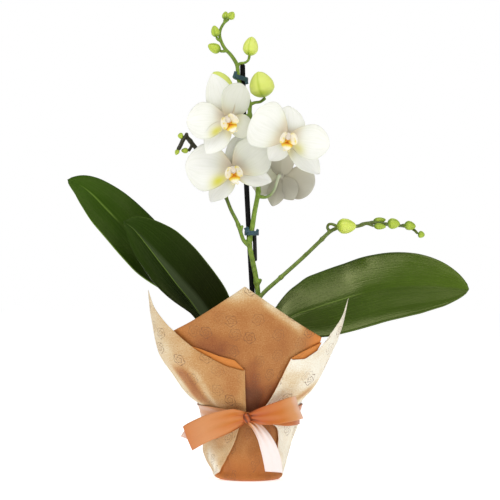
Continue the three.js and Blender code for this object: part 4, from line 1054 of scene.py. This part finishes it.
def makeBark():
    foot = potFloor + potWall + gap
    footRadius, topRadius = (potRadius(z) - potWall - barkClear for z in (foot, barkTop))
    bm = newMesh()
    latheInto(bm, [(0, foot), (footRadius - 1.5, foot), (topRadius, barkTop - 1), (topRadius - 1, barkTop),
                   (20, barkTop + 1), (0, barkTop + 2)], 64)
    pick = random.Random(11)
    for n in range(chipCount):
        ring = sqrt((n + 0.5) / chipCount) * (potRadius(barkTop) - 10.5)
        if ring < crownRoom:
            continue
        turn = n * chipTurn + pick.random()
        size = (pick.uniform(8, 13), pick.uniform(5, 8), pick.uniform(2.5, 4.5))
        x, y = ring * cos(turn), ring * sin(turn)
        if abs(x - stakeSpot[0]) < stakeRoom and abs(y - stakeSpot[1]) < stakeRoom:
            continue
        # the draws stay in this order: each corner's taper, the height, then the three turns
        tapers = iter([1 - 0.35 * pick.random() for corner in range(8)])
        spot = (Matrix.Translation((x, y, barkTop + pick.uniform(0.2, 2.2)))
                @ Matrix.Rotation(pick.random() * pi, 4, "Z")
                @ Matrix.Rotation(pick.uniform(-0.35, 0.35), 4, "Y")
                @ Matrix.Rotation(pick.uniform(-0.35, 0.35), 4, "X"))

        def shaped(corner):
            taper = next(tapers)
            return Vector((corner.x * size[0] * taper, corner.y * size[1] * taper, corner.z * size[2]))

        blockInto(bm, shaped, spot, 0.7, 1)
    bark = finishPiece("bark", bm, barkSkin(), "bark", "bark")
    shade(bark, lambda face: False)


def rootSkin():
    # the roots have a silvery skin over green, the crown is green
    material, tree = newMaterial("silveryRootSkin", Roughness=0.6, IOR=1.4)
    where = ownSpot(tree)
    mottle = cloudy(tree, where, 240, 5)
    high = remap(tree, addNode(tree, "SeparateXYZ", {"Vector": where})["Z"], 0.079, 0.086)
    colour = tinted(tree, ramp(tree, mottle, (0.35, "#7F9068"), (0.65, "#B9C2AC")), "#4F6A2A", high)
    return coat(material, colour, (mottle, 0.3, 0.0004))


makePot()
makeBark()
bm = newMesh()
tubeInto(bm, crownLine, crownRadii, sides=32, stepLength=1.5)
for line in roots:
    tubeInto(bm, line, [2.6, 2.4, 2.4, 2.2, 1.8], sides=16, stepLength=1.5)
crown = finishPiece("crown", bm, rootSkin(), "stem", "crown")
fuseSmooth(crown, 0.6, 4)
print("pot, bark and crown made")


# wrap
# One square of printed wrapping sheet, soft and matt like coated non-woven, with a fine line print of
# rosettes. Painted light makes it cream at its sides, painted shade tan to brown at the front. The pleats let
# it in round the pot.
tieHeight, layerStep = 69, 1.9
bodyLeft = [(0, 33), (3, 38.5), (9, 40.7), (17, 45), (24, 48), (32, 49.8), (58, 50), (tieHeight, 49.5),
            (80, 50)]
bodyRight = [(0, 31.5), (3, 34.5), (10, 36.4), (21, 39), (30, 41.7), (40, 44.8), (59, 50.5),
             (tieHeight, 49.5), (80, 50)]
flareLeft = [(66, 0), (78, 3), (86, 13), (95, 21), (109, 31), (136, 48), (164, 54), (203, 60)]
flareRight = [(66, 0), (80, 4), (98, 19), (123, 32), (152, 45), (193, 57)]
frontOpening, gatherDepth, gatherCount, gatherReach = 0.67, 1.1, 11, 20
fineDepth, fineCount, fineReach = 0.45, 34, 15  # the fine gathers close to the tie
sheetThick, printWidth = 0.3, 720
folds = {  # degrees from the front to the right, by height
    "leftOuter": [(11, -52), (20, -39), (32, -28), (45, -20), (59, -14), (tieHeight, -6), (119, -5.5)],
    "leftInner": [(11, -58), (30, -54), (58, -42), (tieHeight, -38), (152, -62)],
    "rightInner": [(11, 67), (30, 61), (58, 52), (tieHeight, 46), (150, 58)],
    "rightOuter": [(11, 63), (28, 46.5), (58, 34.6), (tieHeight, 13), (86, 22), (130, 33.7)],
    "leftCorner": [(0, -96), (70, -92), (203, -80)],
    "back": [(0, -180), (1, -180)],
    "rightCorner": [(0, 94), (70, 90), (193, 78)],
}
footTurns = {"outer": (-76, -276), "rightPleat": (82.6, 74.4), "front": (73, -64), "leftPleat": (-65.4, -74.6)}
outerEdge = [
    (-326.3, 130), (-316.5, 130.5), (-307, 139), (-298.5, 155.5), (-285, 177), (-282, 193), (-277, 172),
    (-268, 146), (-245, 126), (-225, 124), (-200, 158), (-180, 190), (-160, 160), (-135, 125), (-110, 132),
    (-92, 162), (-84, 186), (-80, 203), (-72, 184), (-55, 163), (-36.5, 140), (-18, 124), (-5.5, 119),
]
middleLeftEdge = [(-62, 151), (-40, 142), (-25, 134), (-13, 130), (-5.5, 121)]
middleRightEdge = [(33.7, 132), (42, 138), (58, 147)]
frontPeak = {"height": 206.5, "across": -5.5, "slope": 0.66, "radius": 90}
foldTip, footHeight, foldHeight = 1.3, 3, 11  # foldTip is in degrees; the folds open between the heights
panelFrom, pleatFrom = 1.9, 0.4  # columns of a higher layer are the front panel's, or a pleat's


def wrapSmooth(turn, z):
    side = sin(turn)
    toRight = (1 + side) / 2
    body = mix(softly(bodyLeft, z), softly(bodyRight, z), toRight)
    flare = mix(softly(flareLeft, z), softly(flareRight, z), toRight)
    return body + flare * mix(frontOpening, 1, side * side)


def frontEdge(degrees):
    across = frontPeak["radius"] * sin(radians(degrees))
    return frontPeak["height"] - frontPeak["slope"] * abs(across - frontPeak["across"])


def wrapColumns():
    # each column of the sheet: its place round the foot, its turn by height, its layer, its edge's height
    columns = []

    def run(layer, marks, first, last, count, edgeAt, footRange):
        for n in range(count + 1):
            spot = mix(first, last, n / count)

            def turnAt(z, spot=spot):
                return between([(top, softly(folds[fold], z) + turns) for top, fold, turns in marks], spot)

            columns.append({"layer": layer, "turn": turnAt, "foot": mix(*footRange, n / count),
                            "edge": edgeAt(spot)})

    def fold(before, after, name, way, edge, foot):
        for n in (1, 2, 3, 4, 5):
            t = n / 6
            columns.append({"layer": mix(before, after, (1 - cos(pi * t)) / 2), "edge": edge, "foot": foot,
                            "turn": lambda z, s=way * foldTip * sin(pi * t): softly(folds[name], z) + s})

    outer, rightPleat, front, leftPleat = footTurns.values()
    # the outer layer runs from its left fold round the back to its right fold
    run(0, [(-326.3, "rightOuter", -360), (-282, "rightCorner", -360), (-180, "back", 0),
            (-80, "leftCorner", 0), (-5.5, "leftOuter", 0)], -5.5, -326.3, 210,
        lambda p: between(outerEdge, p), outer)
    fold(0, 1, "rightOuter", -1, 131, rightPleat[0])
    run(1, [(33.7, "rightOuter", 0), (58, "rightInner", 0)], 33.7, 58, 18,
        lambda p: between(middleRightEdge, p), (mix(*rightPleat, 0.2), mix(*rightPleat, 0.8)))
    fold(1, 2, "rightInner", 1, 147, rightPleat[1])
    run(2, [(-62, "leftInner", 0), (58, "rightInner", 0)], 58, -62, 84, frontEdge, front)
    fold(2, 1, "leftInner", -1, 151, leftPleat[0])
    run(1, [(-62, "leftInner", 0), (-5.5, "leftOuter", 0)], -62, -5.5, 38,
        lambda p: between(middleLeftEdge, p), (mix(*leftPleat, 0.17), mix(*leftPleat, 0.83)))
    fold(1, 0, "leftOuter", 1, 120, leftPleat[1])
    return columns


edgeShares = [n / 34 for n in range(1, 35)]
wrapHeights = [0.4, 0.6, 1.2, 2.0, 3.0, 4.2, 5.6, 7.2, 9.0, 11.0] + [11 + 69 * share for share in edgeShares]
floorShares = [0.0, 0.35, 0.7, 0.92]


def crumple(turn, z):
    # shallow creases of a sheet that has been handled, all outwards so that no layer meets the next
    spot = Vector((sin(turn) * 2.6, -cos(turn) * 2.6, z / 26))
    creases = max(0.0, 0.42 - abs(noise.noise(spot))) ** 1.5 * 3.2
    spot = Vector((sin(turn) * 6 + 7, -cos(turn) * 6, z / 15))
    return creases + max(0.0, 0.35 - abs(noise.noise(spot))) * 1.1


def wrapPoint(column, z):
    loose = smooth(z, footHeight, foldHeight)
    turn = column["turn"](max(z, foldHeight))
    if loose < 1:
        turn = mix(column["foot"], turn, loose)
    turn = radians(turn)
    radius = wrapSmooth(turn, z) + gatherDepth * hump(z, tieHeight, gatherReach) * cos(gatherCount * turn)
    close = hump(z, tieHeight, fineReach)
    radius += fineDepth * close * (0.5 + 0.5 * cos(fineCount * turn + 2 * sin(3 * turn)))
    radius += crumple(turn, z) * smooth(z, 6, 22) * mix(0.75, 0.2, close) * mix(1, 0.8, smooth(z, 90, 120))
    radius -= column["layer"] * layerStep * loose
    return Vector((radius * sin(turn), -radius * cos(turn), z))


def panelToneAndLight(degrees, z):
    # the front panel in painted light and shade: a pale lit peak, browner in painted shade towards the tie
    if z <= tieHeight:
        return 0.6 + 0.12 * smooth(z, 30, 8)
    tone = 0.58 - 0.42 * smooth(z, 176, 208) + 0.4 * smooth(z, 122, 88) * (1 - 0.45 * hump(degrees, 17, 6))
    # a painted dark fold beside the left wing's edge
    tone += 0.16 * hump(degrees, 3, 5) * smooth(z, 138, 122) * smooth(z, 95, 110)
    # a painted highlight along the right slope's edge
    tone -= 0.3 * smooth(frontEdge(degrees) - z, 14, 3) * smooth(degrees, 4, 16) * smooth(degrees, 46, 34)
    tone += 0.08 * hump(degrees, -5, 12) * smooth(z, 130, 90)
    return tone + 0.24 * hump(degrees, -30, 16) * smooth(z, 166, 142)


def wingToneAndLight(degrees, z):
    # the two wings above the tie, and the outer layer below it, in painted light and shade: cream where
    # light shines through, browner towards the front and the left
    if z <= tieHeight:
        return mix(0.3, 0.04, smooth(degrees, -5, 30)) - 0.28 * hump(degrees, -58, 11) * smooth(z, 46, 24)
    tone = mix(0.36, 0.04, smooth(degrees, -20, 20)) + 0.2 * hump(degrees, -15, 25) * smooth(z, 150, 125)
    tone += 0.14 * hump(degrees, 40, 12) * smooth(z, 130, 110)
    tone -= 0.1 * smooth(z, 100, 82) * smooth(degrees, 0, -10) + 0.18 * smooth(-degrees, 40, 80)
    tone += 0.4 * hump(degrees, 62, 14) * hump(z - 0.6 * (degrees - 49), 84, 7)
    # a painted shadow in the hollow beside the left wing's crest, and a painted highlight on the crest
    dent = degrees + 54 + 0.19 * (z - 83)  # a dent beside the left wing's crest
    deep = smooth(z, 126, 115) * smooth(z, 76, 88)
    return tone + deep * (0.34 * clamp(1.6 * hump(dent, 0, 7)) - 0.14 * hump(dent, 14, 4))


def makeWrap():
    columns = wrapColumns()
    count = len(columns)
    rows = len(floorShares) + len(wrapHeights) + len(edgeShares)
    bm = newMesh("tone", "orangeAndGlow", "printX", "printY")

    def columnAt(u):
        return columns[round(u * count) % count]

    def place(u, v):
        column, j = columnAt(u), round(v * (rows - 1))
        if j < len(floorShares):
            rim = wrapPoint(column, wrapHeights[0])
            return Vector((rim.x * floorShares[j], rim.y * floorShares[j], rim.z))
        j -= len(floorShares)
        if j < len(wrapHeights):
            return wrapPoint(column, wrapHeights[j])
        return wrapPoint(column, mix(wrapHeights[-1], column["edge"], edgeShares[j - len(wrapHeights)]))

    def layerAt(u, v):
        # its layer, its degrees from the front to the right, and its point
        column, spot = columnAt(u), place(u, v)
        return column["layer"], (column["turn"](max(spot.z, foldHeight)) + 180) % 360 - 180, spot

    def toneAt(u, v):
        # how brown the sheet is painted, 0 cream, 1 brown: mostly painted light and shade, with a little
        # random tone
        layer, degrees, spot = layerAt(u, v)
        if layer > panelFrom:
            tone = panelToneAndLight(degrees, spot.z)
        else:
            tone = 0.6 if layer > pleatFrom else wingToneAndLight(degrees, spot.z)
        tone = mix(tone, 0.1, smooth(abs(degrees), 105, 140) * (1 - 0.6 * (layer > pleatFrom)))
        return clamp(tone + 0.05 * noise.noise(spot / 20))

    def warmAt(u, v):
        # how orange: the turned-in pleats, both side corners of the front panel and its foot; at the right
        # corner it is a painted glow of light through the sheet
        layer, degrees, spot = layerAt(u, v)
        if layer <= panelFrom:
            return 0.8 if layer > pleatFrom else 0.0
        return (0.95 * smooth(degrees, 40, 56) * smooth(spot.z, 90, 125) + 0.45 * smooth(-degrees, 38, 58)
                + 0.35 * smooth(spot.z, 45, 8))

    gridInto(bm, count, rows - 1, place, {
        "tone": toneAt, "orangeAndGlow": warmAt,
        "printX": lambda u, v: printWidth * u,
        "printY": lambda u, v: place(u, v).z,
    })
    weld(bm)
    wrap = finishPiece("wrap", bm, wrapSheet(), "wrap_sheet", "wrap")
    thicken(wrap, sheetThick)


def wrapSheet():
    # coated non-woven sheet, matt with a faint sheen, rosettes about 14 mm across in fine brown lines
    material, tree = newMaterial("printedWrapSheet", Roughness=0.62, IOR=1.42, Sheen_Weight=0.06,
                                 Sheen_Roughness=0.5)
    across, up = floatNamed(tree, "printX"), floatNamed(tree, "printY")
    spot = addNode(tree, "CombineXYZ", {"X": across, "Y": up})["Vector"]
    # fibres and a cloudy print, both in millimetres of the sheet
    fibre = cloudy(tree, spot, 0.7, 6, 0.8)
    worn = calc(tree, "MULTIPLY_ADD", cloudy(tree, spot, 0.06, 4), 0.24, -0.12)
    # the tone brings the painted light and shade: cream where lit through, brown where shaded
    brown = calc(tree, "ADD", floatNamed(tree, "tone"), worn)
    brown = calc(tree, "ADD", brown, calc(tree, "MULTIPLY_ADD", fibre, 0.7, -0.35))
    colour = ramp(tree, brown, (0.0, "#F2EDDC"), (0.2, "#DAC298"), (0.4, "#C29258"), (0.6, "#AC6E34"),
                  (0.8, "#8E4E20"), (1.0, "#683614"))
    # orange of the pleats, corners and foot, at the right corner a painted glow
    colour = tinted(tree, colour, "#D5802E", floatNamed(tree, "orangeAndGlow"))
    # the print: each cell holds one rosette of wavy rings, some fainter than others
    cell = addNode(tree, "TexVoronoi", {"voronoi_dimensions": "2D", "Vector": spot, "Scale": 1 / 21,
                                        "Randomness": 0.85})
    offset = addNode(tree, "VectorMath", {"operation": "SUBTRACT", 0: spot, 1: cell["Position"]})["Vector"]
    reach = addNode(tree, "VectorMath", {"operation": "LENGTH", 0: offset})["Value"]
    parts = addNode(tree, "SeparateXYZ", {"Vector": offset})
    angle = calc(tree, "ARCTAN2", parts["Y"], parts["X"])
    wave = calc(tree, "SINE", calc(tree, "MULTIPLY_ADD", angle, 5.0, reach))
    wavy = calc(tree, "MULTIPLY_ADD", wave, 0.55, reach)
    lines = remap(tree, calc(tree, "PINGPONG", wavy, 1.4), 0.1, 0.55, 1.0, 0.0)
    lines = calc(tree, "MULTIPLY", lines, remap(tree, wavy, 6.4, 7.0, 1.0, 0.0))
    faint = remap(tree, addNode(tree, "SeparateColor", {"Color": cell["Color"]})["Red"], start=0.22, end=0.9)
    colour = tinted(tree, colour, "#7A5030", calc(tree, "MULTIPLY", lines, faint))
    # creases of a sheet that was once crumpled, facets about 20 mm
    facet = addNode(tree, "TexVoronoi", {"voronoi_dimensions": "2D", "feature": "DISTANCE_TO_EDGE",
                                         "Vector": spot, "Scale": 1 / 24})["Distance"]
    relief = calc(tree, "MULTIPLY_ADD", fibre, 0.5, remap(tree, facet, high=0.09, end=0.35))
    return coat(material, colour, (relief, 0.45, 0.0009))


makeWrap()
print("wrap made")


# ribbon
# Satin ribbon tied in a bow: smooth and bright, orange on its face and near white on its back.
# Its tint also holds painted highlights on the loops and the band, and painted shade at the knot.
ribbonWidth, bandOut = 21, 1.65  # bandOut: from the middle of the paper's gathers
knot, knotSize = Vector((-3, -57, tieHeight)), (4.8, 4.6, 5.4)
# tints run along each part: the tails' pale back is their own colour, the loops' paler spans are painted
# highlights
bow = {
    "leftLoop": {
        "line": [(-4, -58, 69.5), (-22, -62, 66), (-46, -56, 57.5), (-62, -42.5, 48.5), (-66, -37, 45.5),
                 (-61.5, -37.5, 48), (-44, -46.5, 56), (-22, -56.5, 66), (-5, -56.5, 69)],
        "widths": [11, 25, 28, 28, 27, 27, 23, 17, 9],
        "ways": [(0.1, 0, 1), (0.1, 0, 1), (-0.1, 0, 1), (-0.3, 0, 1), (-0.4, 0, 1), (-0.3, 0, 1), (0, 0, 1),
                 (0.2, 0, 1), (0.1, 0, 1)],
        "tintsAndPaintedLight": [0.45, 0.5, 0.6, 0.5, 0.4, 0.3, 0.3, 0.3, 0.3],
    },
    "rightLoop": {
        "line": [(-1, -58, 70), (15, -66, 72), (32, -67, 75.5), (46, -61, 79), (51, -57, 80), (47, -55.5, 79),
                 (32, -60, 76), (15, -60, 72), (-1, -56.5, 69)],
        "widths": [9, 19, 23, 25, 25, 25, 22, 18, 9],
        "ways": [(-0.1, 0, 1), (-0.15, 0, 1), (-0.25, 0, 1), (-0.35, 0, 1), (-0.35, 0, 1), (-0.35, 0, 1),
                 (-0.25, 0, 1), (-0.15, 0, 1), (-0.1, 0, 1)],
        "tintsAndPaintedLight": [0.2, 0.3, 0.45, 0.72, 0.8, 0.6, 0.4, 0.3, 0.2],
    },
    "rightTail": {
        "line": [(-2, -57, 67), (6, -59, 61), (14, -58.5, 50), (20, -56, 36), (23.5, -53, 22), (25, -51, 12)],
        "widths": [8, 10, 14, 18, 19, 19],
        "ways": [(1, 0.2, 0.6), (1, 0.2, 0.5), (1, 0.2, 0.35), (1, 0.2, 0.15), (1, 0.2, 0.05), (1, 0.2, -0.1)],
        "tintsAndPaintedLight": [0.5, 0.8, 0.95, 1, 1, 1],
    },
    "leftTail": {
        "line": [(-5, -57, 66), (-18, -56.5, 60), (-36, -50, 53), (-56, -39, 51), (-70, -33, 52.5)],
        "widths": [8, 14, 16, 16, 12],
        "ways": [(0.3, 0, 1), (0.4, 0, 1), (0.5, 0, 1), (0.5, 0, 1), (0.7, 0, 1)],
        "tintsAndPaintedLight": [0.4, 0.5, 0.55, 0.8, 0.85],
    },
}


def ribbonSatin():
    # polyester satin: soft lengthwise highlights, IOR 1.5, with painted highlights in its tint where it
    # reflects
    material, tree = newMaterial("orangeSatinRibbon", Roughness=0.34, IOR=1.5, Anisotropic=0.5,
                                 Sheen_Weight=0.08, Sheen_Roughness=0.3)
    colour = ramp(tree, floatNamed(tree, "tint"), (0.0, "#6E3418"), (0.2, "#B8581E"), (0.45, "#C8742C"),
                  (0.7, "#D69660"), (1.0, "#F6EAE6"))
    thread = cloudy(tree, bladeUv(tree, (90, 12, 1)), 1.0, 2)
    colour = addNode(tree, "MixRGB", {"blend_type": "MULTIPLY", "Fac": 1.0, "Color1": colour,
                                      "Color2": remap(tree, thread, start=0.9, end=1.08)})["Color"]
    return coat(material, colour, (thread, 0.1, 0.0002))


def stripInto(bm, part, seed):
    dense = 10
    line, ways = densely(part["line"], dense), densely(part["ways"], dense)
    rows = len(line) - 1
    spread, tintsAndPaintedLight = evenRows(part["widths"]), evenRows(part["tintsAndPaintedLight"])
    toKnot = [min((p - knot).length, 70) for p in line]

    def place(u, v):
        k = round(v * rows)
        way = ways[k].normalized()
        tangent = (line[min(k + 1, rows)] - line[max(k - 1, 0)]).normalized()
        normal = tangent.cross(way).normalized()
        pleats = 1.1 * exp(-toKnot[k] / 16) * sin(5 * pi * u + seed)
        pleats += 0.5 * exp(-toKnot[k] / 34) * sin(3 * pi * u + v * 9 + seed)
        curl = 0.6 * (2 * u - 1) ** 2
        return line[k] + way * (softly(spread, v) * (u - 0.5)) + normal * (pleats + curl)

    # painted light and shade across the pleats near the knot, and painted shade close to the knot
    def tintLightAndShadeAt(u, v):
        k = round(v * rows)
        groove = 0.16 * exp(-toKnot[k] / 16) * sin(5 * pi * u + seed)
        return clamp(softly(tintsAndPaintedLight, v) + groove - 0.15 * exp(-toKnot[k] / 9))

    gridInto(bm, 16, rows, place, {"tint": tintLightAndShadeAt})


def makeRibbon():
    bm = newMesh("tint")

    def band(u, v):
        turn = 2 * pi * u
        pinch = mix(0.55, 1, smooth(abs(sin(turn / 2)), 0.05, 0.45))
        z = tieHeight + ribbonWidth / 2 * pinch * (2 * v - 1)
        crease = 0.35 * sin(4 * pi * v + 3 * turn) * (1.4 - pinch)
        radius = wrapSmooth(turn, z) + gatherDepth + bandOut + crease
        return Vector((radius * sin(turn), -radius * cos(turn), z))

    weld(bm, gridInto(bm, 160, 14, band, {
        # the band is paler on the left, a painted highlight
        "tint": lambda u, v: 0.55 - 0.2 * sin(2 * pi * u) + 0.06 * sin(12.6 * v + 18.8 * u),
    }))

    def knotSkin(u, v):
        angle, up = 2 * pi * u, 2 * v - 1
        wide = sqrt(max(1 - abs(up) ** 3.2, 0.001)) * (1 + 0.05 * sin(5 * angle + 3 * up))
        spot = (wide * cos(angle), wide * sin(angle), up * 0.98)
        return knot + Vector(s * size for s, size in zip(spot, knotSize))

    # the knot's dark tint with crease stripes is painted shade
    weld(bm, gridInto(bm, 32, 20, knotSkin, {"tint": lambda u, v: 0.1 + 0.12 * sin(31 * u + 6 * v)}))
    for n, part in enumerate(bow.values()):
        stripInto(bm, part, n * 1.7)
    ribbon = finishPiece("ribbon", bm, ribbonSatin(), "satin_ribbon", "ribbon")
    thicken(ribbon, sheetThick)


makeRibbon()
print("ribbon made")
